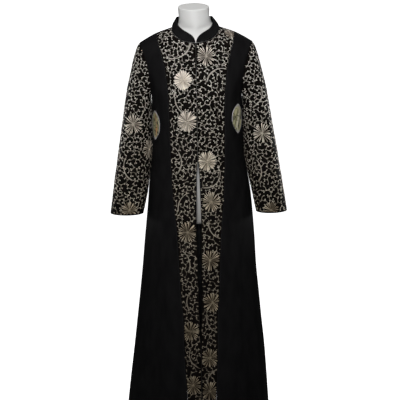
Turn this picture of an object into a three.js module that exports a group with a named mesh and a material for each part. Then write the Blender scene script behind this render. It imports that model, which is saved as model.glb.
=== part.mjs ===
// A long kaftan worn by a limbless dress form on a stand. Millimetres, +Z up.
// The front faces -Y. The origin is on the floor, under the middle of the stand.
import * as THREE from 'three';

// ---- Driving dimensions ----
const clothWall = 1.4;
const seamGap = 0.3;
const layGap = 0.45;             // between a piece and the curved cloth that it lies on
const neckHalfWidth = 80;
const shoulderPointZ = 1435;     // where the neckline meets the shoulder seam
const frontNeckDrop = 47;
const backNeckDrop = 9;
const neckColumns = 6;           // columns of the grid from the centre to the shoulder point
const ridgeRise = 0.2;           // how the shoulder line would go on rising over the neck hole
const shoulderRound = 55;        // how far below the shoulder seam the cloth turns down
const armholeTopZ = 1386;
const underarmZ = 1195;
const armholeRows = 10;
const hemZ = 30;
const flareGrowth = 1.4;         // how a flare of the skirt deepens towards the hem
const axisDrop = 40;             // the cloth faces away from a point of the axis this far below
const axisTopZ = 1300;           // and never above this height
const settleSteps = 40;          // halvings that settle where a column meets an edge
const nearEdge = 0.98;           // a place just inside a panel's edge, as a share of its width

// Columns of the panels' grids.
const centreShoulderColumns = 3;
const sideColumns = 8;
const backShoulderColumns = 8;
const sleeveFadeRings = 5;       // rings over which a sleeve's head takes the armhole's shape

const collarWall = 2;
const collarLeanCurve = 1.3;     // how the collar's wall bows as it leans in
const patchWall = 1;
const patchColumns = 6;

const formNeckHalfWidth = 53;
const formTopZ = 1503;
const formNeckSlant = 0.17;      // the neck is cut sloping down to the front
const formNeckFromZ = 1428;
const neckSway = 0.09;           // above the shoulder points, neck and collar lean this much to -X
const formBottomZ = 768;
const formStations = 32;
const poleRadius = 16;
const poleSides = 24;
const baseRadius = 165;
const baseThickness = 7;
const baseBevel = 2;
const baseSides = 48;

// ---- Short tables, a row for each section ----
// Half widths to each side and depths to front and back of the body's cloth, at each height.
const bodySections = [
  { z: 1460, left: 217, right: 217, front: 46, back: 60 },
  { z: 1435, left: 215, right: 215, front: 54, back: 70 },
  { z: 1386, left: 208, right: 208, front: 73, back: 90 },
  { z: 1350, left: 203, right: 203, front: 88, back: 101 },
  { z: 1314, left: 193, right: 193, front: 102, back: 107 },
  { z: 1286, left: 182, right: 182, front: 111, back: 109 },
  { z: 1254, left: 170, right: 170, front: 119, back: 109 },
  { z: 1225, left: 160.5, right: 161, front: 124, back: 107 },
  { z: 1195, left: 154.5, right: 155.5, front: 127, back: 104 },
  { z: 1150, left: 154.5, right: 156, front: 129, back: 100 },
  { z: 1060, left: 155, right: 157, front: 129, back: 94 },
  { z: 1000, left: 157, right: 160, front: 130, back: 95 },
  { z: 950, left: 163, right: 167.5, front: 133, back: 99 },
  { z: 900, left: 170.5, right: 177, front: 137, back: 105 },
  { z: 850, left: 175, right: 183.7, front: 141, back: 113 },
  { z: 800, left: 180, right: 188, front: 145, back: 121 },
  { z: 700, left: 191.5, right: 195, front: 152, back: 134 },
  { z: 600, left: 202, right: 200, front: 158, back: 146 },
  { z: 500, left: 214, right: 209, front: 165, back: 157 },
  { z: 400, left: 227, right: 218, front: 172, back: 168 },
  { z: 300, left: 240, right: 228, front: 179, back: 179 },
  { z: 200, left: 254, right: 235, front: 186, back: 190 },
  { z: 100, left: 267, right: 241, front: 193, back: 200 },
  { z: 20, left: 277, right: 246, front: 198, back: 207 },
];

// The armhole's edge: its distance from the middle at each height, in front and behind.
const armholeEdge = [
  { z: 1400, front: 189, back: 189 },
  { z: 1386, front: 188, back: 188 },
  { z: 1378, front: 186, back: 186.5 },
  { z: 1362, front: 180, back: 182 },
  { z: 1338, front: 171, back: 175 },
  { z: 1314, front: 163, back: 168 },
  { z: 1286, front: 159.5, back: 162.5 },
  { z: 1254, front: 156.5, back: 158 },
  { z: 1230, front: 154.6, back: 155.4 },
  { z: 1210, front: 153.9, back: 154.5 },
];

// The shoulder seam's height along its length.
const shoulderSeam = [
  { x: 80, z: 1435 },
  { x: 131, z: 1417.5 },
  { x: 158, z: 1404 },
  { x: 188, z: 1386 },
  { x: 210, z: 1371 },
];

// The seam between centre front and side front, measured from the middle.
const panelSeam = [
  { z: 1440, x: 133 },
  { z: 1417, x: 131 },
  { z: 1394, x: 127 },
  { z: 1366, x: 119 },
  { z: 1340, x: 112 },
  { z: 1300, x: 103 },
  { z: 1205, x: 94 },
  { z: 1140, x: 93 },
  { z: 1000, x: 91 },
  { z: 870, x: 86 },
  { z: 780, x: 77 },
  { z: 690, x: 72 },
  { z: 520, x: 65 },
  { z: 458, x: 59 },
  { z: 318, x: 57 },
  { z: 180, x: 51 },
  { z: 20, x: 46 },
];

// Half the width of the front opening.
const frontOpening = [
  { z: 1460, half: 0.15 },
  { z: 1002, half: 0.15 },
  { z: 976, half: 2.8 },
  { z: 950, half: 4.1 },
  { z: 889, half: 5.6 },
  { z: 809, half: 7.4 },
  { z: 750, half: 7.4 },
  { z: 640, half: 6.3 },
  { z: 515, half: 5.1 },
  { z: 440, half: 3.6 },
  { z: 390, half: 1.8 },
  { z: 300, half: 1.2 },
  { z: 20, half: 1.2 },
];

// Soft flares of the skirt: where each lies round the body, in degrees from the middle of
// its side, how wide and deep it grows, and the height at which it starts.
const skirtFolds = [
  { face: 'front', side: -1, turn: 34, spread: 7, depth: 9, top: 700 },
  { face: 'front', side: -1, turn: 57, spread: 9, depth: 14, top: 880 },
  { face: 'front', side: 1, turn: 38, spread: 7, depth: 8, top: 620 },
  { face: 'front', side: 1, turn: 60, spread: 9, depth: 13, top: 840 },
  { face: 'back', side: -1, turn: 12, spread: 7, depth: 13, top: 860 },
  { face: 'back', side: -1, turn: 37, spread: 8, depth: 18, top: 900 },
  { face: 'back', side: -1, turn: 62, spread: 8, depth: 14, top: 800 },
  { face: 'back', side: 1, turn: 17, spread: 7, depth: 15, top: 900 },
  { face: 'back', side: 1, turn: 42, spread: 9, depth: 17, top: 840 },
  { face: 'back', side: 1, turn: 66, spread: 7, depth: 11, top: 740 },
];

// Heights of the grid's rows below the underarm.
const lowerRows = [
  1168, 1125, 1080, 1040, 1000, 960, 910, 855, 805, 752, 695, 635, 575, 515, 455, 392, 330,
  270, 210, 150, 90, hemZ,
];

// Rings of a sleeve: its outer line, its inner line on the left and the right side, the depth of
// its middle, half its depth, and how far its inner line lies behind the middle.
const sleeveRings = [
  { outX: 188, outZ: 1386, inLeft: 154.5, inRight: 155.5, inZ: 1195, midY: 0, half: 55, skew: 0 },
  { outX: 198, outZ: 1372, inLeft: 155.3, inRight: 156.4, inZ: 1184, midY: 0, half: 56, skew: 6 },
  { outX: 206, outZ: 1351, inLeft: 155, inRight: 156.1, inZ: 1171, midY: -1, half: 57, skew: 14 },
  { outX: 215, outZ: 1322, inLeft: 154.3, inRight: 155.7, inZ: 1155, midY: -2, half: 57, skew: 19 },
  { outX: 224, outZ: 1285, inLeft: 154.1, inRight: 155.6, inZ: 1136, midY: -3, half: 56, skew: 22 },
  { outX: 235, outZ: 1242, inLeft: 154.2, inRight: 155.8, inZ: 1115, midY: -5, half: 55, skew: 25 },
  { outX: 245, outZ: 1190, inLeft: 154.3, inRight: 156, inZ: 1090, midY: -7, half: 54, skew: 27 },
  { outX: 254, outZ: 1135, inLeft: 154.5, inRight: 156.5, inZ: 1062, midY: -9, half: 53, skew: 29 },
  { outX: 263, outZ: 1080, inLeft: 155.3, inRight: 157.7, inZ: 1030, midY: -12, half: 52, skew: 31 },
  { outX: 272, outZ: 1028, inLeft: 156.9, inRight: 160, inZ: 996, midY: -15, half: 51, skew: 32 },
  { outX: 280, outZ: 975, inLeft: 161.4, inRight: 165.8, inZ: 957, midY: -18, half: 50, skew: 31 },
  { outX: 288.5, outZ: 925, inLeft: 168.6, inRight: 175.3, inZ: 913, midY: -21, half: 49, skew: 25 },
  { outX: 295.5, outZ: 878, inLeft: 175.8, inRight: 184.6, inZ: 870, midY: -25, half: 47, skew: 14 },
  { outX: 301.5, outZ: 838, inLeft: 184.2, inRight: 192.2, inZ: 833, midY: -29, half: 45.5, skew: 6 },
  { outX: 307, outZ: 800, inLeft: 192, inRight: 199, inZ: 798, midY: -32, half: 44, skew: 2 },
];

// The collar, from the centre front round to the centre back, in degrees: the height of its
// top edge over the neckline, and how far that edge leans in towards the neck.
const collarShape = [
  { turn: 0, rise: 5, lean: 0.5 },
  { turn: 1.5, rise: 7.5, lean: 1 },
  { turn: 3.2, rise: 13.5, lean: 2 },
  { turn: 6.7, rise: 20, lean: 3 },
  { turn: 12, rise: 25.5, lean: 5 },
  { turn: 20, rise: 29.5, lean: 8 },
  { turn: 32, rise: 31.5, lean: 12 },
  { turn: 48, rise: 32, lean: 15 },
  { turn: 70, rise: 31.5, lean: 18 },
  { turn: 90, rise: 32, lean: 19.5 },
  { turn: 115, rise: 36, lean: 15 },
  { turn: 145, rise: 39, lean: 9 },
  { turn: 180, rise: 40, lean: 4 },
];

// The collar's columns, in degrees from the centre front, and its rows, as shares of its height.
const collarTurns = [1, 2, 3.2, 6.7, 12, 20, 30, 45, 60, 75, 90, 105, 120, 135, 150, 165, 180];
const collarLevels = [0, 0.35, 0.7, 1];

// The pointed pieces under the arms: the middle of each, in degrees from the centre front
// and in height, half its width in degrees, and its length.
const underarmPatches = [
  { name: 'left', side: -1, turn: 66.5, half: 11.5, z: 1110, length: 100 },
  { name: 'right', side: 1, turn: 61.8, half: 12.6, z: 1129, length: 100 },
];

// How full its sides are above and below its middle: it has a blunt top and a sharp foot.
const patchFullness = { above: 3, below: 2.1 };

// The rows of such a piece, as shares of half its length above and below its middle.
const patchRows = [-0.96, -0.75, -0.5, -0.25, 0, 0.25, 0.5, 0.75, 0.96];

// The dress form: half width and depths to front and back at each height. The section is
// an ellipse where shape is 2, and its sides run out thinner where shape is less.
const formSections = [
  { z: formBottomZ, half: 142, front: 88, back: 92, shape: 2 },
  { z: 776, half: 148, front: 93, back: 97, shape: 2 },
  { z: 820, half: 152, front: 96, back: 102, shape: 2 },
  { z: 880, half: 150, front: 94, back: 98, shape: 2 },
  { z: 950, half: 133, front: 88, back: 80, shape: 2 },
  { z: 1020, half: 118, front: 84, back: 70, shape: 2 },
  { z: 1090, half: 119, front: 92, back: 76, shape: 2 },
  { z: 1150, half: 130, front: 110, back: 86, shape: 2 },
  { z: 1200, half: 139, front: 112, back: 94, shape: 2 },
  { z: 1250, half: 146, front: 104, back: 101, shape: 2 },
  { z: 1300, half: 154, front: 90, back: 101, shape: 2 },
  { z: 1335, half: 159, front: 78, back: 95, shape: 2 },
  { z: 1362, half: 161, front: 68, back: 86, shape: 1.9 },
  { z: 1382, half: 159, front: 60, back: 77, shape: 1.7 },
  { z: 1396, half: 155, front: 54, back: 70, shape: 1.5 },
  { z: 1405, half: 150.6, front: 52, back: 65, shape: 1.4 },
  { z: 1413, half: 135.2, front: 51, back: 59, shape: 1.3 },
  { z: 1420, half: 117.8, front: 50.5, back: 55, shape: 1.25 },
  { z: 1428, half: 93, front: 50.3, back: 52, shape: 1.25 },
  { z: 1436, half: 71, front: 50.2, back: 50, shape: 1.35 },
  { z: 1450, half: 56, front: 50.1, back: 50, shape: 1.8 },
  { z: 1475, half: formNeckHalfWidth, front: 50, back: 50, shape: 2 },
  { z: formTopZ, half: formNeckHalfWidth, front: 50, back: 50, shape: 2 },
];

// ---- Finishes ----
const finishes = {
  blackCrepe: { color: 0x141416, roughness: 0.85, metalness: 0 },
  scrollCloth: { color: 0x4a4640, roughness: 0.7, metalness: 0 },
  brocade: { color: 0x8a7f5a, roughness: 0.55, metalness: 0.1 },
  formShell: { color: 0xc9cac8, roughness: 0.45, metalness: 0 },
  blackSteel: { color: 0x18181a, roughness: 0.5, metalness: 0.4 },
};

// ---- Interpolation in the tables ----
const radians = (degrees) => (degrees * Math.PI) / 180;
const mix = (a, b, t) => a + (b - a) * t;

// A smooth curve through a table's rows that never overshoots them.
function curve(rows, along, value) {
  const sorted = [...rows].sort((a, b) => a[along] - b[along]);
  const xs = sorted.map((row) => row[along]);
  const ys = sorted.map((row) => row[value]);
  const slopes = xs.slice(1).map((x, i) => (ys[i + 1] - ys[i]) / (x - xs[i]));
  const tangents = ys.map((_, i) => {
    if (i === 0) return slopes[0];
    if (i === ys.length - 1) return slopes[i - 1];
    const [before, after] = [slopes[i - 1], slopes[i]];
    return before * after <= 0 ? 0 : (2 * before * after) / (before + after);
  });
  return (x) => {
    if (x <= xs[0]) return ys[0];
    if (x >= xs[xs.length - 1]) return ys[ys.length - 1];
    const i = xs.findIndex((_, k) => x < xs[k + 1]);
    const span = xs[i + 1] - xs[i];
    const t = (x - xs[i]) / span;
    const h = t * t * (3 - 2 * t);
    return mix(ys[i], ys[i + 1], h)
      + span * t * (1 - t) * ((1 - t) * tangents[i] - t * tangents[i + 1]);
  };
}

const body = {
  left: curve(bodySections, 'z', 'left'),
  right: curve(bodySections, 'z', 'right'),
  front: curve(bodySections, 'z', 'front'),
  back: curve(bodySections, 'z', 'back'),
};
const armhole = {
  front: curve(armholeEdge, 'z', 'front'),
  back: curve(armholeEdge, 'z', 'back'),
};
const seamAlongShoulder = curve(shoulderSeam, 'x', 'z');
const panelSeamX = curve(panelSeam, 'z', 'x');
const openingHalf = curve(frontOpening, 'z', 'half');

// ---- The cloth's surface ----
// The line of the shoulder seam, carried on over the neck hole.
function ridgeZ(x) {
  if (x >= neckHalfWidth) return seamAlongShoulder(x);
  return shoulderPointZ + ridgeRise * (neckHalfWidth - x);
}

// The top edge of the cloth at a distance x from the middle: neckline, then shoulder seam.
function topEdgeZ(face, x) {
  if (x >= neckHalfWidth) return seamAlongShoulder(x);
  const drop = face === 'front' ? frontNeckDrop : backNeckDrop;
  return shoulderPointZ - drop * Math.sqrt(1 - (x / neckHalfWidth) ** 2);
}

// The nominal height of a row: armhole rows follow a half circle, so that they crowd at
// the shoulder, where the cloth turns over.
function rowLevel(row) {
  if (row <= armholeRows) {
    const middle = (armholeTopZ + underarmZ) / 2;
    const reach = (armholeTopZ - underarmZ) / 2;
    return middle + reach * Math.cos((Math.PI * row) / armholeRows);
  }
  const levels = [underarmZ, ...lowerRows];
  const below = Math.min(row - armholeRows, lowerRows.length);
  const i = Math.min(Math.floor(below), lowerRows.length - 1);
  return mix(levels[i], levels[i + 1], below - i);
}
const lastRow = armholeRows + lowerRows.length;

function hullWidth(side, z) {
  return side < 0 ? body.left(z) : body.right(z);
}

function foldDepth(face, side, turn, z) {
  return skirtFolds
    .filter((fold) => fold.face === face && fold.side === side && z < fold.top)
    .reduce((sum, fold) => {
      const grown = ((fold.top - z) / (fold.top - hemZ)) ** flareGrowth;
      const off = (turn - radians(fold.turn)) / radians(fold.spread);
      return sum + fold.depth * grown * Math.exp(-off * off);
    }, 0);
}

// A point of the outer surface. turn is the angle from the middle of the face to the side.
function clothPoint(face, side, turn, z) {
  const grown = foldDepth(face, side, turn, z);
  const width = hullWidth(side, z) + grown;
  const depth = body[face](z) + grown;
  const x = width * Math.sin(turn);
  const drop = THREE.MathUtils.clamp(ridgeZ(x) - z, 0, shoulderRound);
  const over = Math.sqrt(1 - (1 - drop / shoulderRound) ** 2);
  const y = depth * Math.cos(turn) * over;
  return new THREE.Vector3(side * x, face === 'front' ? -y : y, z);
}

// The edges that columns run between, as turns at a height.
function turnAt(side, x, z) {
  return Math.asin(Math.min(1, x / hullWidth(side, z)));
}
const edges = {
  middleFront: (side, z) => turnAt(side, 0, z),
  middleBack: () => 0,
  panelSeam: (side, z) => turnAt(side, panelSeamX(z), z),
  armholeFront: (side, z) => (z <= underarmZ ? Math.PI / 2 : turnAt(side, armhole.front(z), z)),
  armholeBack: (side, z) => (z <= underarmZ ? Math.PI / 2 : turnAt(side, armhole.back(z), z)),
};

// One column of the grid: the share t of the way from one edge to the other.
function columnTurn(side, from, to, t, z) {
  return mix(edges[from](side, z), edges[to](side, z), t);
}

// The height at which a column meets the top edge of the cloth.
function columnTop(face, side, from, to, t) {
  let z = armholeTopZ;
  for (let i = 0; i < settleSteps; i += 1) {
    const x = hullWidth(side, z) * Math.sin(columnTurn(side, from, to, t, z));
    z = mix(z, topEdgeZ(face, x), 0.5);
  }
  return z;
}

function rowZ(row, topZ) {
  const fade = Math.max(0, 1 - row / armholeRows);
  return rowLevel(row) + fade * (topZ - armholeTopZ);
}

// The outer surface between two edges, as a function of the share across and the row.
function bodySurface(face, side, from, to) {
  return (t, row) => {
    const z = rowZ(row, columnTop(face, side, from, to, t));
    return clothPoint(face, side, columnTurn(side, from, to, t, z), z);
  };
}

// ---- Walls from grids of points ----
// Turns a grid of outer points and wall directions into one closed wall.
function wallGeometry(outer, inner, closed) {
  const rows = outer.length;
  const columns = outer[0].length;
  const positions = [...outer.flat(), ...inner.flat()].flatMap((p) => [p.x, p.y, p.z]);
  const at = (layer, row, column) => layer * rows * columns + row * columns + (column % columns);
  const faces = [];
  const quad = (a, b, c, d) => faces.push(a, b, c, a, c, d);
  const lastColumn = closed ? columns : columns - 1;
  for (let row = 0; row < rows - 1; row += 1) {
    for (let column = 0; column < lastColumn; column += 1) {
      quad(at(0, row, column), at(0, row + 1, column), at(0, row + 1, column + 1), at(0, row, column + 1));
      quad(at(1, row, column), at(1, row, column + 1), at(1, row + 1, column + 1), at(1, row + 1, column));
    }
  }
  for (let column = 0; column < lastColumn; column += 1) {
    quad(at(0, 0, column), at(0, 0, column + 1), at(1, 0, column + 1), at(1, 0, column));
    const end = rows - 1;
    quad(at(1, end, column), at(1, end, column + 1), at(0, end, column + 1), at(0, end, column));
  }
  if (!closed) {
    for (let row = 0; row < rows - 1; row += 1) {
      const end = columns - 1;
      quad(at(1, row, 0), at(1, row + 1, 0), at(0, row + 1, 0), at(0, row, 0));
      quad(at(0, row, end), at(0, row + 1, end), at(1, row + 1, end), at(1, row, end));
    }
  }
  return shell(positions, faces);
}

// A geometry whose faces point out, whichever way round they were made.
function shell(positions, faces) {
  const corner = (i) => new THREE.Vector3().fromArray(positions, faces[i] * 3);
  let volume = 0;
  for (let i = 0; i < faces.length; i += 3) {
    volume += corner(i).dot(corner(i + 1).cross(corner(i + 2)));
  }
  const outward = volume > 0 ? faces : faces.map((_, i) => faces[i - (i % 3) + [0, 2, 1][i % 3]]);
  const geometry = new THREE.BufferGeometry();
  geometry.setAttribute('position', new THREE.Float32BufferAttribute(positions, 3));
  geometry.setIndex(outward);
  geometry.computeVertexNormals();
  return geometry;
}

// The outward direction of a surface given as point(t, row), found from nearby points.
function outwardAt(point, t, row, rowLimit, centre) {
  const step = 0.01;
  const [t0, t1] = [Math.max(0, t - step), Math.min(1, t + step)];
  const [r0, r1] = [Math.max(0, row - step), Math.min(rowLimit, row + step)];
  const across = point(t1, row).sub(point(t0, row));
  const down = point(t, r1).sub(point(t, r0));
  const normal = across.cross(down).normalize();
  return normal.dot(point(t, row).sub(centre)) < 0 ? normal.negate() : normal;
}

const bodyAxis = (z) => new THREE.Vector3(0, 0, Math.min(z - axisDrop, axisTopZ));

// ---- Body panels ----
// The shares of the way across the centre front at which columns lie, so that the
// neckline is evenly divided and one column meets the shoulder point.
function neckShares(face, side, from, to, shoulderColumns) {
  const shareAt = (x) => {
    let [low, high] = [0, 1];
    for (let i = 0; i < settleSteps; i += 1) {
      const t = (low + high) / 2;
      const z = columnTop(face, side, from, to, t);
      const reached = hullWidth(side, z) * Math.sin(columnTurn(side, from, to, t, z));
      if (reached < x) low = t;
      else high = t;
    }
    return (low + high) / 2;
  };
  const corner = shareAt(neckHalfWidth);
  const neck = Array.from({ length: neckColumns }, (_, i) => (
    i === 0 ? 0 : shareAt(neckHalfWidth * Math.sin((Math.PI / 2) * (i / neckColumns)))
  ));
  const shoulder = Array.from({ length: shoulderColumns + 1 }, (_, i) => (
    mix(corner, 1, i / shoulderColumns)
  ));
  return [...neck, ...shoulder];
}

const evenShares = (columns) => Array.from({ length: columns + 1 }, (_, i) => i / columns);

// One half of a panel: its outer points and wall directions, a list for each row.
function panelHalf(face, side, from, to, shares) {
  const point = bodySurface(face, side, from, to);
  return Array.from({ length: lastRow + 1 }, (_, row) => shares.map((t) => {
    const place = point(t, row);
    return { place, out: outwardAt(point, t, row, lastRow, bodyAxis(place.z)) };
  }));
}

// Draws a panel's edges in by half of the seam gap, along the panel.
function trimmed(rows, edgesToTrim) {
  const shift = (list, index, inner, amount) => {
    const direction = list[inner].place.clone().sub(list[index].place).normalize();
    return { ...list[index], place: list[index].place.clone().addScaledVector(direction, amount) };
  };
  const half = seamGap / 2;
  let result = rows;
  if (edgesToTrim.first) {
    result = result.map((list) => [shift(list, 0, 1, half), ...list.slice(1)]);
  }
  if (edgesToTrim.last) {
    result = result.map((list) => [...list.slice(0, -1), shift(list, list.length - 1, list.length - 2, half)]);
  }
  if (edgesToTrim.top) {
    result = [result[0].map((spot, i) => {
      const direction = result[1][i].place.clone().sub(spot.place).normalize();
      return { ...spot, place: spot.place.clone().addScaledVector(direction, half) };
    }), ...result.slice(1)];
  }
  return result;
}

// Gives each place of a grid its wall direction, away from its own middle.
function withDirections(rows, closed) {
  return rows.map((list, row) => list.map((spot, i) => {
    const count = list.length;
    const after = list[closed ? (i + 1) % count : Math.min(i + 1, count - 1)].place;
    const before = list[closed ? (i + count - 1) % count : Math.max(i - 1, 0)].place;
    const below = rows[Math.min(row + 1, rows.length - 1)][i].place;
    const above = rows[Math.max(row - 1, 0)][i].place;
    const out = after.clone().sub(before).cross(below.clone().sub(above)).normalize();
    if (out.dot(spot.place.clone().sub(spot.middle)) < 0) out.negate();
    return { place: spot.place, out };
  }));
}

function wallFrom(rows, wall, closed = false) {
  const outer = rows.map((list) => list.map((spot) => spot.place));
  const inner = rows.map((list) => list.map((spot) => (
    spot.place.clone().addScaledVector(spot.out, -wall)
  )));
  return wallGeometry(outer, inner, closed);
}

function centreFront(side) {
  const shares = neckShares('front', side, 'middleFront', 'panelSeam', centreShoulderColumns);
  const rows = panelHalf('front', side, 'middleFront', 'panelSeam', shares);
  const opened = rows.map((list) => {
    const half = openingHalf(list[0].place.z);
    return [{ ...list[0], place: list[0].place.clone().setX(side * half) }, ...list.slice(1)];
  });
  return wallFrom(trimmed(opened, { last: true, top: true }), clothWall);
}

function sideFront(side) {
  const rows = panelHalf('front', side, 'panelSeam', 'armholeFront', evenShares(sideColumns));
  return wallFrom(trimmed(rows, { first: true, last: true, top: true }), clothWall);
}

function backPanel() {
  const halves = [-1, 1].map((side) => {
    const shares = neckShares('back', side, 'middleBack', 'armholeBack', backShoulderColumns);
    return panelHalf('back', side, 'middleBack', 'armholeBack', shares);
  });
  const rows = halves[0].map((list, row) => [...[...list].reverse(), ...halves[1][row].slice(1)]);
  return wallFrom(trimmed(rows, { first: true, last: true, top: true }), clothWall);
}

// ---- Sleeves ----
// A point of the armhole's edge, round the ring from the shoulder to the front, the
// underarm and the back, with the body's outward direction there.
function armholeSpot(side, station) {
  const count = armholeRows * 2;
  const face = station <= armholeRows ? 'front' : 'back';
  const row = face === 'front' ? station : count - station;
  const edge = face === 'front' ? 'armholeFront' : 'armholeBack';
  const point = bodySurface(face, side, edge, edge);
  const place = point(0, row);
  const from = face === 'front' ? 'panelSeam' : 'middleBack';
  const wide = bodySurface(face, side, from, edge);
  const out = outwardAt(wide, 1, row, lastRow, bodyAxis(place.z));
  const along = place.clone().sub(wide(nearEdge, row)).normalize();
  return { place, out, along };
}

const innerX = (ring, side) => (side < 0 ? ring.inLeft : ring.inRight);

function ringPoint(ring, side, angle) {
  const inX = innerX(ring, side);
  const midX = (ring.outX + inX) / 2;
  const midZ = (ring.outZ + ring.inZ) / 2;
  const reach = Math.cos(angle) / 2;
  return new THREE.Vector3(
    side * (midX + reach * (ring.outX - inX)),
    ring.midY - Math.sin(angle) * ring.half + (0.5 - reach) * ring.skew,
    midZ + reach * (ring.outZ - ring.inZ),
  );
}

function sleeve(side) {
  const stations = armholeRows * 2;
  const fade = (index) => Math.max(0, 1 - index / sleeveFadeRings) ** 2;
  const seam = Array.from({ length: stations }, (_, station) => armholeSpot(side, station));
  const starts = seam.map(({ place, out, along }) => (
    place.clone().addScaledVector(out, layGap).addScaledVector(along, layGap)
  ));
  const rows = sleeveRings.map((ring, index) => {
    const middle = new THREE.Vector3(
      side * (ring.outX + innerX(ring, side)) / 2, ring.midY + ring.skew / 2, (ring.outZ + ring.inZ) / 2,
    );
    return starts.map((start, station) => {
      const angle = (2 * Math.PI * station) / stations;
      const nominal = ringPoint(sleeveRings[0], side, angle);
      const place = ringPoint(ring, side, angle)
        .addScaledVector(start.clone().sub(nominal), fade(index));
      return { place, middle };
    });
  });
  const spots = withDirections(rows, true);
  // At the armhole the wall's end face is square to the body panel that it meets.
  spots[0].forEach((spot, station) => {
    const lean = Math.max(0, spot.out.dot(seam[station].along));
    spot.out.addScaledVector(seam[station].along, -lean).normalize();
  });
  return wallFrom(spots, clothWall, true);
}

// ---- Collar ----
// A point of the neckline, turned round from the centre front (0) to the centre back (180).
function necklinePoint(side, turn) {
  const face = turn <= Math.PI / 2 ? 'front' : 'back';
  const x = neckHalfWidth * Math.sin(turn);
  const z = topEdgeZ(face, Math.min(x, neckHalfWidth - 1e-6));
  return clothPoint(face, side, turnAt(side, x, z), z);
}

// How far the neck and the collar lean over at a height.
const swayAt = (z) => -neckSway * Math.max(0, z - shoulderPointZ);

// The neckline runs straight between the columns of the panels below it.
function collarFoot(side, turn) {
  const step = Math.PI / 2 / neckColumns;
  const before = Math.min(Math.floor(turn / step + 1e-9), 2 * neckColumns - 1);
  const [a, b] = [before, before + 1].map((i) => necklinePoint(side, i * step));
  return a.lerp(b, turn / step - before);
}

function collar() {
  const rise = curve(collarShape, 'turn', 'rise');
  const lean = curve(collarShape, 'turn', 'lean');
  const round = [
    ...collarTurns.map((turn) => ({ side: -1, turn })),
    ...collarTurns.slice(0, -1).reverse().map((turn) => ({ side: 1, turn })),
  ];
  const rows = collarLevels.map((level) => round.map(({ side, turn }) => {
    const foot = collarFoot(side, radians(turn));
    const inward = new THREE.Vector3(-foot.x, -foot.y, 0).normalize();
    const place = foot.clone()
      .addScaledVector(inward, lean(turn) * level ** collarLeanCurve)
      .setZ(foot.z + layGap + rise(turn) * level);
    place.x += swayAt(place.z);
    return { place, middle: new THREE.Vector3(0, 0, place.z) };
  }));
  return wallFrom(withDirections(rows, false), collarWall);
}

// ---- Underarm pieces ----
// Each lies on its side front: that panel's own surface, moved out.
function underarmPatch({ side, turn, half, z, length }) {
  const surface = (angle, height) => clothPoint('front', side, radians(angle), height);
  const columns = evenShares(patchColumns).map((share) => share * 2 - 1);
  const rows = patchRows.map((share) => columns.map((column) => {
    const fullness = share < 0 ? patchFullness.above : patchFullness.below;
    const width = half * (1 - Math.abs(share) ** fullness);
    const [angle, height] = [turn + column * width, z - (share * length) / 2];
    const across = surface(angle + 1, height).sub(surface(angle - 1, height));
    const down = surface(angle, height - 1).sub(surface(angle, height + 1));
    const out = across.cross(down).normalize();
    const place = surface(angle, height);
    if (out.dot(place.clone().sub(bodyAxis(height))) < 0) out.negate();
    return { place: place.addScaledVector(out, patchWall + layGap), out };
  }));
  return wallFrom(rows, patchWall);
}

// ---- Revolved and lofted solids of the stand ----
function ringSolid(sections, stations) {
  const positions = [];
  const faces = [];
  sections.forEach((ring) => ring.forEach((p) => positions.push(p.x, p.y, p.z)));
  const at = (row, station) => row * stations + (station % stations);
  for (let row = 0; row < sections.length - 1; row += 1) {
    for (let i = 0; i < stations; i += 1) {
      faces.push(at(row, i), at(row, i + 1), at(row + 1, i + 1));
      faces.push(at(row, i), at(row + 1, i + 1), at(row + 1, i));
    }
  }
  [[sections[0], 0], [sections[sections.length - 1], sections.length - 1]].forEach(([ring, row]) => {
    const middle = ring.reduce((sum, p) => sum.add(p), new THREE.Vector3()).divideScalar(stations);
    const centre = positions.length / 3;
    positions.push(middle.x, middle.y, middle.z);
    for (let i = 0; i < stations; i += 1) {
      if (row === 0) faces.push(centre, at(row, i + 1), at(row, i));
      else faces.push(centre, at(row, i), at(row, i + 1));
    }
  });
  return shell(positions, faces);
}

function formTorso() {
  const swell = (value, shape) => Math.sign(value) * Math.abs(value) ** (2 / shape);
  const rings = formSections.map((row) => Array.from({ length: formStations }, (_, i) => {
    const angle = (2 * Math.PI * i) / formStations;
    const x = row.half * swell(Math.sin(angle), row.shape) + swayAt(row.z);
    const depth = Math.cos(angle) > 0 ? row.front : row.back;
    const y = -depth * swell(Math.cos(angle), row.shape);
    const cut = Math.max(0, (row.z - formNeckFromZ) / (formTopZ - formNeckFromZ));
    return new THREE.Vector3(x, y, row.z + cut * formNeckSlant * y);
  }));
  return ringSolid(rings, formStations);
}

function standPole() {
  const bottom = baseThickness + seamGap;
  const top = formBottomZ - seamGap;
  const geometry = new THREE.CylinderGeometry(poleRadius, poleRadius, top - bottom, poleSides);
  geometry.rotateX(Math.PI / 2).translate(0, 0, (top + bottom) / 2);
  return geometry;
}

function standBase() {
  const profile = [
    [0, 0], [baseRadius, 0], [baseRadius, baseThickness - baseBevel],
    [baseRadius - baseBevel, baseThickness], [0, baseThickness],
  ].map(([radius, height]) => new THREE.Vector2(radius, height));
  const geometry = new THREE.LatheGeometry(profile, baseSides);
  geometry.rotateX(Math.PI / 2);
  return geometry;
}

// ---- The model ----
const group = new THREE.Group();

function add(name, geometry, finish) {
  const mesh = new THREE.Mesh(geometry, new THREE.MeshStandardMaterial(finishes[finish]));
  mesh.name = name;
  group.add(mesh);
}

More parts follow.
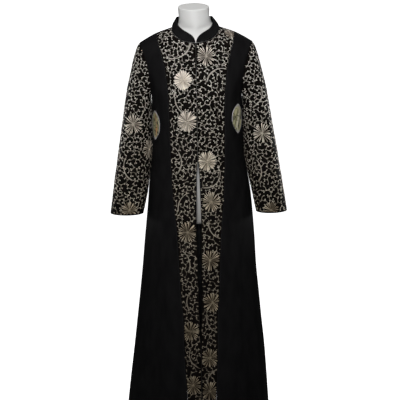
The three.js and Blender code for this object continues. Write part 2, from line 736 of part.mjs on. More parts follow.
[['left', -1], ['right', 1]].forEach(([name, side]) => {
  add(`front_centre_${name}`, centreFront(side), 'scrollCloth');
  add(`front_side_${name}`, sideFront(side), 'blackCrepe');
  add(`sleeve_${name}`, sleeve(side), 'scrollCloth');
});
underarmPatches.forEach((patch) => {
  add(`underarm_patch_${patch.name}`, underarmPatch(patch), 'brocade');
});
add('back', backPanel(), 'blackCrepe');
add('collar', collar(), 'blackCrepe');
add('form_torso', formTorso(), 'formShell');
add('stand_pole', standPole(), 'blackSteel');
add('stand_base', standBase(), 'blackSteel');

export default group;
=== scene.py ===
# A long kaftan on a limbless dress form, dressed round its packed construction model.
# Blender works in metres; the garment's own tables and the cloth's shape are in millimetres.
# +Z is up, the front faces -Y, and side -1 is the left of someone who looks at the front.
import math
import random

import bpy
import numpy as np
from mathutils import Matrix, Vector, kdtree


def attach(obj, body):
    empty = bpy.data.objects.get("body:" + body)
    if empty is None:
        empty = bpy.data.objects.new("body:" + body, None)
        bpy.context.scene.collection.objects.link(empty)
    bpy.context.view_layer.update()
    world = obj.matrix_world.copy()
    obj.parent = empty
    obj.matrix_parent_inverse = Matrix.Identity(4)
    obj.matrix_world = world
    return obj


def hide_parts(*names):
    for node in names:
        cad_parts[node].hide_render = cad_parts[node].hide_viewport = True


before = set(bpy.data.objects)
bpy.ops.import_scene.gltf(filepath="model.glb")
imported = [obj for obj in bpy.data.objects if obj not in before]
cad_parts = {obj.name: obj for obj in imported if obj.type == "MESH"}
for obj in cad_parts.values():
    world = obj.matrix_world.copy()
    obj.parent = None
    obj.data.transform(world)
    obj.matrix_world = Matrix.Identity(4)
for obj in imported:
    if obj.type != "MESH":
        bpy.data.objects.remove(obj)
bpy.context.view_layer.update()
mm = 0.001

# Camera, light and floor
studio = {
    "cameraPlace": (0.005, -4.0, 1.8),
    "cameraTarget": (0.005, 0.0, 0.832),
    "cameraRoll": math.radians(-1.0),
    "pixelSize": 0.0035,  # of the object, in one pixel at the target
    "imageWidth": 400,
    "sensorWidth": 36.0,
    "cameraReach": 200.0,
    "floorSize": 60.0,
    "floorDrop": 0.0005,
    "floorGlow": 1.1,
    "skyStrength": 0.14,
}
lamps = [  # name, place, aim, width, height, watts, spread in degrees
    ("softbox_front", (-0.2, -2.2, 2.3), (0.0, -0.1, 1.3), 0.9, 0.9, 8.1, 75),
    ("softbox_low", (0.05, -3.4, 1.15), (0.0, 0.0, 0.85), 0.9, 0.9, 1.9, 60),
    ("softbox_top", (0.0, -0.3, 3.2), (0.0, 0.0, 1.4), 1.1, 1.1, 4.4, 100),
    ("softbox_back", (0.35, 2.6, 1.1), (0.0, 0.0, 1.0), 0.7, 0.7, 8.0, 70),
    ("strip_left", (-1.9, 0.75, 1.08), (-0.25, 0.0, 1.06), 0.4, 0.3, 0.8, 22),
    ("strip_right", (1.9, 0.75, 1.08), (0.25, 0.0, 1.06), 0.4, 0.3, 1.2, 22),
]


def aimed(place, target, roll=0.0):
    forward = (Vector(target) - Vector(place)).normalized()
    right = forward.cross(Vector((0, 0, 1))).normalized()
    up = right.cross(forward)
    rolledRight = right * math.cos(roll) + up * math.sin(roll)
    rolledUp = up * math.cos(roll) - right * math.sin(roll)
    turned = Matrix((rolledRight, rolledUp, -forward)).transposed().to_4x4()
    return Matrix.Translation(Vector(place)) @ turned


def makeCamera():
    distance = (Vector(studio["cameraTarget"]) - Vector(studio["cameraPlace"])).length
    data = bpy.data.cameras.new("camera")
    data.sensor_width = studio["sensorWidth"]
    data.lens = studio["sensorWidth"] * distance / (studio["pixelSize"] * studio["imageWidth"])
    data.clip_end = studio["cameraReach"]
    camera = bpy.data.objects.new("camera", data)
    camera.matrix_world = aimed(studio["cameraPlace"], studio["cameraTarget"], studio["cameraRoll"])
    bpy.context.scene.collection.objects.link(camera)
    bpy.context.scene.camera = camera


def makeLights():
    world = bpy.data.worlds.new("studio")
    world.use_nodes = True
    background = world.node_tree.nodes["Background"]
    background.inputs["Color"].default_value = (1, 1, 1, 1)
    background.inputs["Strength"].default_value = studio["skyStrength"]
    bpy.context.scene.world = world
    bpy.context.scene.view_settings.view_transform = "Standard"
    for name, place, aim, width, height, watts, spread in lamps:
        data = bpy.data.lights.new(name, "AREA")
        data.spread = math.radians(spread)
        data.shape = "RECTANGLE"
        data.size = width
        data.size_y = height
        data.energy = watts
        lamp = bpy.data.objects.new(name, data)
        lamp.matrix_world = aimed(place, aim)
        bpy.context.scene.collection.objects.link(lamp)


# Shader maths: a socket that can be added, multiplied and so on
class Link:
    def __init__(self, finish, socket):
        self.finish = finish
        self.socket = socket

    def maths(self, operation, first, second):
        return self.finish.node("Math", {"operation": operation}, {0: first, 1: second}).out(0)

    def __add__(self, other):
        return self.maths("ADD", self, other)

    def __radd__(self, other):
        return self.maths("ADD", other, self)

    def __sub__(self, other):
        return self.maths("SUBTRACT", self, other)

    def __rsub__(self, other):
        return self.maths("SUBTRACT", other, self)

    def __mul__(self, other):
        return self.maths("MULTIPLY", self, other)

    def __rmul__(self, other):
        return self.maths("MULTIPLY", other, self)


class Made:
    def __init__(self, finish, node):
        self.finish = finish
        self.node = node

    def out(self, name):
        return Link(self.finish, self.node.outputs[name])


class Finish:
    def __init__(self, name):
        self.material = bpy.data.materials.new(name)
        self.material.use_nodes = True
        self.tree = self.material.node_tree
        self.shader = self.tree.nodes["Principled BSDF"]

    def node(self, kind, settings=None, values=None):
        made = self.tree.nodes.new("ShaderNode" + kind)
        for key, value in (settings or {}).items():
            if key == "stops":
                self.setStops(made.color_ramp, value)
            else:
                setattr(made, key, value)
        for key, value in (values or {}).items():
            self.feed(made.inputs[key], value)
        return Made(self, made)

    def setStops(self, ramp, stops):
        while len(ramp.elements) < len(stops):
            ramp.elements.new(1.0)
        for element, (place, colour) in zip(ramp.elements, stops):
            element.position = place
            element.color = (*colour, 1.0)

    def feed(self, socket, value):
        if isinstance(value, Link):
            self.tree.links.new(value.socket, socket)
        else:
            socket.default_value = value

    def set(self, **values):
        for key, value in values.items():
            self.feed(self.shader.inputs[key.replace("_", " ")], value)

    def place(self):  # where a point of the piece is, in metres
        return self.node("TexCoord").out("Object")

    def axis(self, name):
        return self.node("SeparateXYZ", None, {0: self.place()}).out(name)

    def noise(self, scale, detail, stretch=(1, 1, 1)):
        mapped = self.node("Mapping", None, {"Vector": self.place(), "Scale": stretch})
        values = {"Vector": mapped.out(0), "Scale": scale, "Detail": detail}
        return self.node("TexNoise", None, values).out("Fac")

    def between(self, value, low, high):  # 0 at low and 1 at high
        values = {"Value": value, "From Min": low, "From Max": high}
        return self.node("MapRange", None, values).out(0)

    def mixed(self, factor, first, second):
        settings = {"data_type": "RGBA"}
        return self.node("Mix", settings, {0: factor, 6: first, 7: second}).out(2)

    def bump(self, height, distance, strength=1.0):
        values = {"Height": height, "Distance": distance, "Strength": strength}
        self.set(Normal=self.node("Bump", None, values).out(0))


# Short tables: a row for each section, under named columns
def table(columns, rows):
    return [dict(zip(columns.split(), row)) for row in rows]


# A smooth curve through a table's rows that never overshoots them
def curve(rows, along, value):
    ordered = sorted(rows, key=lambda row: row[along])
    xs = np.array([row[along] for row in ordered], float)
    ys = np.array([row[value] for row in ordered], float)
    slopes = np.diff(ys) / np.diff(xs)
    tangents = np.concatenate([slopes[:1], np.zeros(len(xs) - 2), slopes[-1:]])
    before, after = slopes[:-1], slopes[1:]
    same = before * after > 0
    tangents[1:-1][same] = (2 * before * after)[same] / (before + after)[same]

    def at(x):
        x = np.clip(x, xs[0], xs[-1])
        i = np.clip(np.searchsorted(xs, x, side="right") - 1, 0, len(xs) - 2)
        span = xs[i + 1] - xs[i]
        t = (x - xs[i]) / span
        eased = t * t * (3 - 2 * t)
        bow = (1 - t) * tangents[i] - t * tangents[i + 1]
        return ys[i] + (ys[i + 1] - ys[i]) * eased + span * t * (1 - t) * bow

    return at


# The garment's cut, in millimetres
cut = {
    "wall": 1.4,
    "seamGap": 0.3,
    "layGap": 0.45,          # from a piece to what lies on it
    "neckHalfWidth": 80,
    "shoulderPointZ": 1435,
    "frontNeckDrop": 47,
    "backNeckDrop": 9,
    "ridgeRise": 0.2,        # of the shoulders' line inside the neck, for each millimetre
    "shoulderRound": 55,     # the height over which the shoulders round over
    "armholeTopZ": 1386,
    "underarmZ": 1195,
    "hemZ": 30,
    "flareGrowth": 1.4,
    "neckSway": 0.09,        # above the shoulder points, neck and collar lean this much to -X
    "hemDepth": 28,
    "hemExtra": 0.7,         # the turned-up hem is this much thicker
    "armholeSteps": 33,      # rows of the mesh beside the armhole
    "rowStep": 6.5,          # and the height of a row below it
    "rimRound": 0.45,
    "rimAngle": 60,
    "axisBelow": 40,         # normals point away from the body's axis, a little lower down
    "axisTopZ": 1300,
    "searchSteps": 40,
}
creaseShape = {"end": 0.04, "fade": 0.7}
bodySections = table("z left right front back", [
    (1460, 217, 217, 46, 60), (1435, 215, 215, 54, 70), (1386, 208, 208, 73, 90),
    (1350, 203, 203, 88, 101), (1314, 193, 193, 102, 107), (1286, 182, 182, 111, 109),
    (1254, 170, 170, 119, 109), (1225, 160.5, 161, 124, 107), (1195, 154.5, 155.5, 127, 104),
    (1150, 154.5, 156, 129, 100), (1060, 155, 157, 129, 94), (1000, 157, 160, 130, 95),
    (950, 163, 167.5, 133, 99), (900, 170.5, 177, 137, 105), (850, 175, 183.7, 141, 113),
    (800, 180, 188, 145, 121), (700, 191.5, 195, 152, 134), (600, 202, 200, 158, 146),
    (500, 214, 209, 165, 157), (400, 227, 218, 172, 168), (300, 240, 228, 179, 179),
    (200, 254, 235, 186, 190), (100, 267, 241, 193, 200), (20, 277, 246, 198, 207),
])
armholeEdge = table("z front back", [
    (1400, 189, 189), (1386, 188, 188), (1378, 186, 186.5), (1362, 180, 182),
    (1338, 171, 175), (1314, 163, 168), (1286, 159.5, 162.5), (1254, 156.5, 158),
    (1230, 154.6, 155.4), (1210, 153.9, 154.5),
])
shoulderSeam = table("x z", [
    (80, 1435), (131, 1417.5), (158, 1404), (188, 1386), (210, 1371),
])
panelSeam = table("z x", [
    (1440, 133), (1417, 131), (1394, 127), (1366, 119), (1340, 112), (1300, 103),
    (1205, 94), (1140, 93), (1000, 91), (870, 86), (780, 77), (690, 72), (520, 65),
    (458, 59), (318, 57), (180, 51), (20, 46),
])
frontOpening = table("z half", [
    (1460, 0.15), (1002, 0.15), (976, 2.8), (950, 4.1), (889, 5.6), (809, 7.4), (750, 7.4),
    (640, 6.3), (515, 5.1), (440, 3.6), (390, 1.8), (300, 1.2), (20, 1.2),
])
# Flares of the skirt: turn and spread in degrees from the middle of the face
skirtFolds = table("face side turn spread depth top", [
    ("front", -1, 34, 7, 9, 700), ("front", -1, 57, 9, 14, 880),
    ("front", 1, 38, 7, 8, 620), ("front", 1, 60, 9, 13, 840),
    ("back", -1, 12, 7, 13, 860), ("back", -1, 37, 8, 18, 900),
    ("back", -1, 62, 8, 14, 800), ("back", 1, 17, 7, 15, 900),
    ("back", 1, 42, 9, 17, 840), ("back", 1, 66, 7, 11, 740),
])
# Soft creases of the body, from one turn and height to another; depth under 0 is a trough
bodyCreases = table("face side turnA zA turnB zB width depth", [
    ("front", -1, 74, 1215, 46, 1120, 9, 1.6), ("front", -1, 78, 1170, 52, 1062, 8, -1.8),
    ("front", -1, 80, 1020, 40, 985, 11, 1.7), ("front", -1, 76, 960, 44, 905, 10, -2.0),
    ("front", -1, 66, 860, 60, 640, 13, 2.2), ("front", -1, 48, 820, 47, 560, 12, -2.4),
    ("front", 1, 75, 1208, 50, 1132, 8, 1.4), ("front", 1, 79, 1160, 48, 1040, 9, -1.9),
    ("front", 1, 78, 1005, 46, 975, 10, 1.8), ("front", 1, 72, 940, 50, 868, 10, -1.7),
    ("front", 1, 68, 830, 64, 600, 14, 2.3), ("front", 1, 50, 780, 46, 520, 11, -2.2),
    ("back", -1, 78, 1225, 40, 1180, 12, 2.2), ("back", -1, 70, 1130, 18, 1085, 10, -2.0),
    ("back", -1, 64, 1040, 12, 1022, 9, 2.1), ("back", -1, 58, 985, 16, 962, 11, -2.2),
    ("back", -1, 30, 930, 26, 700, 13, 2.4), ("back", 1, 77, 1218, 36, 1168, 11, 2.0),
    ("back", 1, 68, 1120, 10, 1098, 9, -1.8), ("back", 1, 66, 1052, 20, 1040, 9, 2.0),
    ("back", 1, 60, 975, 14, 990, 12, -2.1), ("back", 1, 34, 900, 32, 660, 12, 2.5),
])
bodyLeft = curve(bodySections, "z", "left")
bodyRight = curve(bodySections, "z", "right")
bodyDepth = {face: curve(bodySections, "z", face) for face in ("front", "back")}
armholeX = {face: curve(armholeEdge, "z", face) for face in ("front", "back")}
seamAlongShoulder = curve(shoulderSeam, "x", "z")
panelSeamX = curve(panelSeam, "z", "x")
openingHalf = curve(frontOpening, "z", "half")


def unit(vectors):
    return vectors / np.maximum(np.linalg.norm(vectors, axis=-1, keepdims=True), 1e-9)


def dot(first, second):
    return np.sum(first * second, axis=-1)


def stack(x, y, z):
    return np.stack(np.broadcast_arrays(x, y, z), axis=-1).astype(float)


def axisAt(z):
    return stack(0, 0, np.minimum(z - cut["axisBelow"], cut["axisTopZ"]))


# The middle and half the height of the armhole
def armholeSpan():
    return (cut["armholeTopZ"] + cut["underarmZ"]) / 2, (cut["armholeTopZ"] - cut["underarmZ"]) / 2


# How high a crease stands at a place: full along its line, fading out beside and at its ends
def creaseAt(a, b, start, end, width, depth):
    run = (end[0] - start[0], end[1] - start[1])
    length = run[0] ** 2 + run[1] ** 2
    share = np.clip(((a - start[0]) * run[0] + (b - start[1]) * run[1]) / length, 0, 1)
    away = (a - start[0] - share * run[0]) ** 2 + (b - start[1] - share * run[1]) ** 2
    share = np.clip(share, creaseShape["end"], 1 - creaseShape["end"])
    return depth * np.exp(-away / width**2) * np.sin(np.pi * share) ** creaseShape["fade"]


def hullWidth(side, z):
    return bodyLeft(z) if side < 0 else bodyRight(z)


def topEdgeZ(face, x):
    drop = cut["frontNeckDrop"] if face == "front" else cut["backNeckDrop"]
    inside = np.sqrt(np.maximum(0, 1 - (x / cut["neckHalfWidth"]) ** 2))
    neckline = cut["shoulderPointZ"] - drop * inside
    return np.where(x >= cut["neckHalfWidth"], seamAlongShoulder(x), neckline)


# How far the cloth swells beyond the plain body: flares of the skirt and creases
def swellAt(face, side, turn, z):
    swell = np.zeros(np.broadcast(turn, z).shape)
    for fold in skirtFolds:
        if fold["face"] == face and fold["side"] == side:
            grown = np.clip((fold["top"] - z) / (fold["top"] - cut["hemZ"]), 0, 2)
            off = (turn - math.radians(fold["turn"])) / math.radians(fold["spread"])
            swell = swell + fold["depth"] * grown ** cut["flareGrowth"] * np.exp(-off * off)
    reach = hullWidth(side, z)
    for crease in bodyCreases:
        if crease["face"] == face and crease["side"] == side:
            start = (math.radians(crease["turnA"]) * reach, crease["zA"])
            end = (math.radians(crease["turnB"]) * reach, crease["zB"])
            swell = swell + creaseAt(turn * reach, z, start, end, crease["width"], crease["depth"])
    return swell


def clothPoint(face, side, turn, z):
    swell = swellAt(face, side, turn, z)
    x = (hullWidth(side, z) + swell) * np.sin(turn)
    neck = cut["neckHalfWidth"]
    ridge = np.where(
        x >= neck, seamAlongShoulder(x), cut["shoulderPointZ"] + cut["ridgeRise"] * (neck - x)
    )
    drop = np.clip(ridge - z, 0, cut["shoulderRound"])
    over = np.sqrt(1 - (1 - drop / cut["shoulderRound"]) ** 2)
    y = (bodyDepth[face](z) + swell) * np.cos(turn) * over
    return stack(side * x, -y if face == "front" else y, z)


def turnOf(side, x, z):
    return np.arcsin(np.minimum(1, x / hullWidth(side, z)))


def edgeTurn(edge, side, z):
    if edge == "middle":
        return np.zeros(np.shape(z))
    if edge == "panelSeam":
        return turnOf(side, panelSeamX(z), z)
    return np.where(z <= cut["underarmZ"], np.pi / 2, turnOf(side, armholeX[edge](z), z))


def columnTurn(side, first, last, share, z):
    return edgeTurn(first, side, z) * (1 - share) + edgeTurn(last, side, z) * share


# The height at which each column meets the neckline or the shoulder seam
def columnTop(face, side, first, last, share):
    z = np.full(np.shape(share), float(cut["armholeTopZ"]))
    for _ in range(cut["searchSteps"]):
        x = hullWidth(side, z) * np.sin(columnTurn(side, first, last, share, z))
        z = (z + topEdgeZ(face, x)) / 2
    return z


# Rows of a panel: a nominal height, and how far it follows the top edge
def panelRows():
    middle, reach = armholeSpan()
    share = np.linspace(0, 1, cut["armholeSteps"] + 1)
    below = np.arange(cut["underarmZ"] - cut["rowStep"], cut["hemZ"], -cut["rowStep"])
    levels = np.concatenate([middle + reach * np.cos(np.pi * share), below, [cut["hemZ"]]])
    return levels, np.concatenate([1 - share, np.zeros(len(below) + 1)])


def panelGrid(face, side, first, last, shares):
    tops = columnTop(face, side, first, last, shares)
    levels, fades = panelRows()
    z = levels[:, None] + fades[:, None] * (tops[None, :] - cut["armholeTopZ"])
    return clothPoint(face, side, columnTurn(side, first, last, shares[None, :], z), z)


# Columns across a panel that has the neckline at its inner end
def neckShares(face, side, last, neckColumns, shoulderColumns):
    def shareAt(target):
        low, high = np.zeros(len(target)), np.ones(len(target))
        for _ in range(cut["searchSteps"]):
            share = (low + high) / 2
            z = columnTop(face, side, "middle", last, share)
            short = hullWidth(side, z) * np.sin(columnTurn(side, "middle", last, share, z)) < target
            low = np.where(short, share, low)
            high = np.where(short, high, share)
        return (low + high) / 2

    angles = np.pi / 2 * np.arange(1, neckColumns + 1) / neckColumns
    neck = shareAt(cut["neckHalfWidth"] * np.sin(angles))
    return np.concatenate([[0], neck, np.linspace(neck[-1], 1, shoulderColumns + 1)[1:]])


# Draws a panel's edges in by half of the seam gap, along the panel
def trimmed(grid, edges):
    half = cut["seamGap"] / 2
    grid = grid.copy()
    if "first" in edges:
        grid[:, 0] += half * unit(grid[:, 1] - grid[:, 0])
    if "last" in edges:
        grid[:, -1] += half * unit(grid[:, -2] - grid[:, -1])
    if "top" in edges:
        grid[0] += half * unit(grid[1] - grid[0])
    return grid


def gridNormals(grid, middles, closed=False):
    down = np.gradient(grid, axis=0)
    if closed:
        across = np.roll(grid, -1, axis=1) - np.roll(grid, 1, axis=1)
    else:
        across = np.gradient(grid, axis=1)
    normals = unit(np.cross(across, down))
    if dot(normals, grid - middles).sum() < 0:
        normals = -normals
    return normals


# Meshes
def addMesh(name, points, faces, finish, sharp=50):
    mesh = bpy.data.meshes.new(name)
    mesh.from_pydata((np.asarray(points) * mm).tolist(), [], faces)
    mesh.validate()
    mesh.polygons.foreach_set("use_smooth", [True] * len(mesh.polygons))
    mesh.set_sharp_from_angle(angle=math.radians(sharp))
    mesh.materials.append(finish)
    piece = bpy.data.objects.new(name, mesh)
    bpy.context.scene.collection.objects.link(piece)
    return piece


# One closed wall from a grid of outer points and a grid of inner points
def wallMesh(name, outer, inner, finish, closed=False):
    rows, columns = outer.shape[:2]
    index = np.arange(2 * rows * columns).reshape(2, rows, columns)
    if closed:
        index = np.concatenate([index, index[:, :, :1]], axis=2)
    out, back = index
    quads = [
        np.stack([out[:-1, :-1], out[1:, :-1], out[1:, 1:], out[:-1, 1:]], -1),
        np.stack([back[:-1, :-1], back[:-1, 1:], back[1:, 1:], back[1:, :-1]], -1),
        np.stack([out[0, :-1], out[0, 1:], back[0, 1:], back[0, :-1]], -1),
        np.stack([back[-1, :-1], back[-1, 1:], out[-1, 1:], out[-1, :-1]], -1),
    ]
    if not closed:
        quads.append(np.stack([back[:-1, 0], back[1:, 0], out[1:, 0], out[:-1, 0]], -1))
        quads.append(np.stack([out[:-1, -1], out[1:, -1], back[1:, -1], back[:-1, -1]], -1))
    faces = np.concatenate([quad.reshape(-1, 4) for quad in quads])
    points = np.concatenate([outer.reshape(-1, 3), inner.reshape(-1, 3)])
    a, b, c, d = (points[faces[:, i]] for i in range(4))
    if (dot(a, np.cross(b, c)) + dot(a, np.cross(c, d))).sum() < 0:
        faces = faces[:, ::-1]
    piece = addMesh(name, points, faces.tolist(), finish)
    rim = piece.modifiers.new("rim", "BEVEL")
    rim.width = cut["rimRound"] * mm
    rim.segments = 2
    rim.limit_method = "ANGLE"
    rim.angle_limit = math.radians(cut["rimAngle"])
    return piece


def clothWall(name, grid, normals, finish, wall, closed=False, hem=None):
    depth = np.full(grid.shape[:2], float(wall))
    if hem is not None:  # the turned-up hem is thicker, on the inside
        depth = depth + cut["hemExtra"] * hem
    return wallMesh(name, grid, grid - normals * depth[..., None], finish, closed)


# Ribbons of thread that lie on the cloth: arrays of (stroke, point)
def ribbonMesh(name, places, normals, halfWidth, height, finish, keep=None, tone=None):
    along = unit(np.gradient(places, axis=1))
    across = unit(np.cross(normals, along))
    base = places + normals * thread["lift"]
    left = base + across * halfWidth[..., None]
    right = base - across * halfWidth[..., None]
    crown = base + normals * np.broadcast_to(height, halfWidth.shape)[..., None]
    strokes, steps = halfWidth.shape
    points = np.stack([left, crown, right], axis=2).reshape(-1, 3)
    index = np.arange(strokes * steps * 3).reshape(strokes, steps, 3)
    kept = np.ones((strokes, steps), bool) if keep is None else keep
    segment = kept[:, :-1] & kept[:, 1:]
    start, end = index[:, :-1][segment], index[:, 1:][segment]
    sides = [(0, 1), (1, 2), (2, 0)]
    quads = [np.stack([start[:, i], start[:, j], end[:, j], end[:, i]], -1) for i, j in sides]
    blank = np.zeros((strokes, 1), bool)
    opens = segment & ~np.concatenate([blank, segment[:, :-1]], 1)
    shuts = segment & ~np.concatenate([segment[:, 1:], blank], 1)
    caps = [index[:, :-1][opens][:, [0, 2, 1]], index[:, 1:][shuts][:, [0, 1, 2]]]
    quads = np.concatenate(quads)
    caps = np.concatenate(caps)
    used = np.unique(np.concatenate([quads.ravel(), caps.ravel()]))
    renumber = np.zeros(len(points), int)
    renumber[used] = np.arange(len(used))
    faces = renumber[quads].tolist() + renumber[caps].tolist()
    piece = addMesh(name, points[used], faces, finish, 75)
    if tone is not None:
        values = np.repeat(np.broadcast_to(tone, (strokes, steps))[..., None], 3, axis=2)
        layer = piece.data.attributes.new("tone", "FLOAT", "POINT")
        layer.data.foreach_set("value", values.reshape(-1)[used].astype(np.float32))
    return piece


def settle(piece, slot, *nodes):
    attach(piece, "root")
    if nodes:
        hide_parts(*nodes)


# Finishes
cloth = {
    "slub": 38,             # how many uneven threads there are in a metre, about
    "slubStretch": 0.35,
    "weave": 1500,
    "relief": 0.0004,
    "roughness": 0.72,
    "dyes": {  # dark, light, gloss, sheen
        "crepe": ((0.0048, 0.0047, 0.0050, 1), (0.0082, 0.0080, 0.0083, 1), 0.02, 0.0),
        "ground": ((0.0018, 0.0014, 0.0012, 1), (0.0044, 0.0033, 0.0027, 1), 0.03, 0.01),
    },
}


def blackCloth(name, dye, grain):
    dark, light, gloss, sheen = cloth["dyes"][dye]
    finish = Finish(name)
    slub = finish.noise(cloth["slub"], 4, (1, 1, cloth["slubStretch"]))
    weave = finish.noise(cloth["weave"], 1, (1, 1, grain))
    lighter = finish.between(slub * 0.7 + weave * 0.3, 0.35, 0.65)
    finish.set(Base_Color=finish.mixed(lighter, dark, light))
    finish.set(Roughness=cloth["roughness"] + (slub - 0.5) * 0.15)
    finish.set(Specular_IOR_Level=gloss, Sheen_Weight=sheen, Sheen_Roughness=0.35)
    finish.bump(weave * 0.5 + slub * 0.5, cloth["relief"], 0.6)
    return finish.material


thread = {
    "scroll": (0.86, 0.83, 0.78, 1),
    "scrollDim": (0.14, 0.12, 0.10, 1),
    "cream": (0.86, 0.81, 0.74, 1),
    "creamDim": (0.20, 0.17, 0.14, 1),
    # the heights, in metres, over which the colour by height runs, with its painted shade
    "paintedShadeFrom": 0.0,
    "paintedShadeTo": 1.5,
    "stitch": 900,
    "stitchLong": 2.5,
    "stitchDark": 0.22,
    "relief": 0.0003,
    "lift": 0.05,           # off the cloth
    "roughness": 0.5,
    "gloss": 0.3,
}
# How the threads' colour changes with height: a share of the height, then a colour that multiplies it.
# Darker towards the hem is painted shade, where the light falls off lower down; the flowers also turn from
# cream to gold lower down.
scrollTintAndPaintedShade = [
    (0.0, (0.30, 0.265, 0.205)), (0.33, (0.325, 0.29, 0.235)), (0.55, (0.54, 0.50, 0.42)),
    (0.72, (0.645, 0.615, 0.565)), (0.84, (0.78, 0.765, 0.735)), (1.0, (0.71, 0.69, 0.67)),
]
flowerTintAndPaintedShade = [
    (0.0, (0.46, 0.40, 0.29)), (0.30, (0.56, 0.50, 0.37)), (0.55, (0.74, 0.67, 0.53)),
    (0.66, (0.92, 0.88, 0.77)), (0.76, (0.94, 0.91, 0.86)), (1.0, (1.0, 0.97, 0.94)),
]


# Embroidery thread: lighter where its tone is high, and coloured by its height, which also paints shade on
# it towards the hem
def embroideryThread(name, bright, dim, fade):
    finish = Finish(name)
    tone = finish.node("Attribute", {"attribute_name": "tone"}).out("Fac")
    strand = finish.noise(thread["stitch"], 1, (1, 1, thread["stitchLong"]))
    height = finish.between(finish.axis("Z"), thread["paintedShadeFrom"], thread["paintedShadeTo"])
    # painted shade: the colour by height darkens the thread lower down, where the light falls off
    paintedShadeTint = finish.node("ValToRGB", {"stops": fade}, {"Fac": height}).out("Color")
    undyed = finish.mixed(tone - strand * thread["stitchDark"], dim, bright)
    settings = {"data_type": "RGBA", "blend_type": "MULTIPLY"}
    finish.set(Base_Color=finish.node("Mix", settings, {0: 1.0, 6: undyed, 7: paintedShadeTint}).out(2))
    finish.set(Roughness=thread["roughness"] + (strand - 0.5) * 0.2)
    finish.set(Specular_IOR_Level=thread["gloss"])
    finish.bump(strand, thread["relief"], 0.8)
    return finish.material


plain = {  # dark and light, for the pieces with one finish each
    "blackThread": ((0.010, 0.010, 0.011, 1), (0.024, 0.024, 0.026, 1)),
    "cord": ((0.09, 0.09, 0.085, 1), (0.36, 0.34, 0.37, 1)),
    "form": ((0.63, 0.63, 0.62, 1), (0.70, 0.695, 0.68, 1)),
    # painted shade: the form is darker from 0.93 m down to 0.79 m and below, where little light reaches it
    # through the skirt's opening
    "formFootPaintedShade": (0.42, 0.405, 0.385, 1),
    "formPaintedShadeZ": (0.79, 0.93),
    "stand": ((0.012, 0.012, 0.013, 1), (0.030, 0.030, 0.031, 1)),
    "floor": ((0.86, 0.86, 0.86, 1), (0.9, 0.9, 0.9, 1)),
}


def blackThread():
    finish = Finish("black_thread")
    strand = finish.noise(1400, 1)
    finish.set(Base_Color=finish.mixed(strand, *plain["blackThread"]))
    finish.set(Roughness=0.5 + strand * 0.2, Specular_IOR_Level=0.25)
    finish.bump(strand, 0.0002, 0.7)
    return finish.material


brocade = {
    "olive": (0.180, 0.172, 0.086, 1),
    "oliveLight": (0.430, 0.405, 0.245, 1),
    "dark": (0.032, 0.030, 0.018, 1),
    "pale": (0.340, 0.330, 0.320, 1),
    "paleFrom": (0.55, 0.9),  # towards both ends, by the square of the place along
    "wander": 0.9,
    "threads": 160,
    "flecks": 130,
    "weave": 1100,
    "relief": 0.0004,
    "streaks": {  # colour, place across, slant along, half width
        "left": ((0.40, 0.21, 0.09, 1), -0.35, 0.0, 0.22),
        "right": ((0.70, 0.66, 0.52, 1), 0.0, -0.55, 0.25),
    },
}


# Brocade with one woven streak that runs down it and dark flecks
def brocadeCloth(side):
    colour, place, slant, half = brocade["streaks"][side]
    finish = Finish("brocade_" + side)
    across = finish.node("Attribute", {"attribute_name": "across"}).out("Fac")
    along = finish.node("Attribute", {"attribute_name": "along"}).out("Fac")
    wander = finish.noise(60, 3)
    offset = across - place - along * slant + (wander - 0.5) * brocade["wander"]
    away = finish.node("Math", {"operation": "ABSOLUTE"}, {0: offset}).out(0)
    streak = finish.between(away, half, half * 0.4)
    threads = finish.noise(brocade["threads"], 3, (1, 1, 0.4))
    fleck = finish.noise(brocade["flecks"], 3, (1, 1, 0.7))
    olive = finish.mixed(finish.between(threads, 0.4, 0.62), brocade["olive"], brocade["oliveLight"])
    marked = finish.mixed(streak, olive, colour)
    flecked = finish.mixed(finish.between(fleck, 0.52, 0.59), marked, brocade["dark"])
    ends = finish.between(along * along, *brocade["paleFrom"])
    thin = finish.noise(brocade["weave"], 1)
    finish.set(Base_Color=finish.mixed(ends, flecked, brocade["pale"]))
    finish.set(Roughness=0.42 + thin * 0.2, Specular_IOR_Level=0.4)
    finish.bump(thin * 0.6 + fleck * 0.4, brocade["relief"], 0.7)
    return finish.material


def paleCord():
    finish = Finish("pale_cord")
    strand = finish.noise(700, 2)
    worn = finish.between(finish.noise(45, 2), 0.38, 0.6)
    finish.set(Base_Color=finish.mixed(worn, *plain["cord"]))
    finish.set(Roughness=0.55 + strand * 0.1, Specular_IOR_Level=0.4)
    finish.bump(strand, 0.0003, 0.7)
    return finish.material


def formShell():
    finish = Finish("form_shell")
    cloudy = finish.noise(9, 3)
    fine = finish.noise(650, 2)
    clean = finish.mixed(cloudy, *plain["form"])
    # painted shade: darker towards the foot, where little light reaches the form inside the skirt
    low = finish.between(finish.axis("Z"), *plain["formPaintedShadeZ"])  # its foot is a darker shade
    finish.set(Base_Color=finish.mixed(low, plain["formFootPaintedShade"], clean))
    finish.set(Roughness=0.38 + cloudy * 0.12, Specular_IOR_Level=0.45)
    finish.bump(fine * 0.5 + cloudy * 0.5, 0.0003, 0.25)
    return finish.material


def standPaint():
    finish = Finish("stand_paint")
    fine = finish.noise(900, 2)
    scuff = finish.between(finish.noise(22, 4), 0.62, 0.75)
    finish.set(Base_Color=finish.mixed(scuff, *plain["stand"]))
    finish.set(Roughness=0.42 + scuff * 0.2, Metallic=0.3, Specular_IOR_Level=0.4)
    finish.bump(fine, 0.0002, 0.35)
    return finish.material


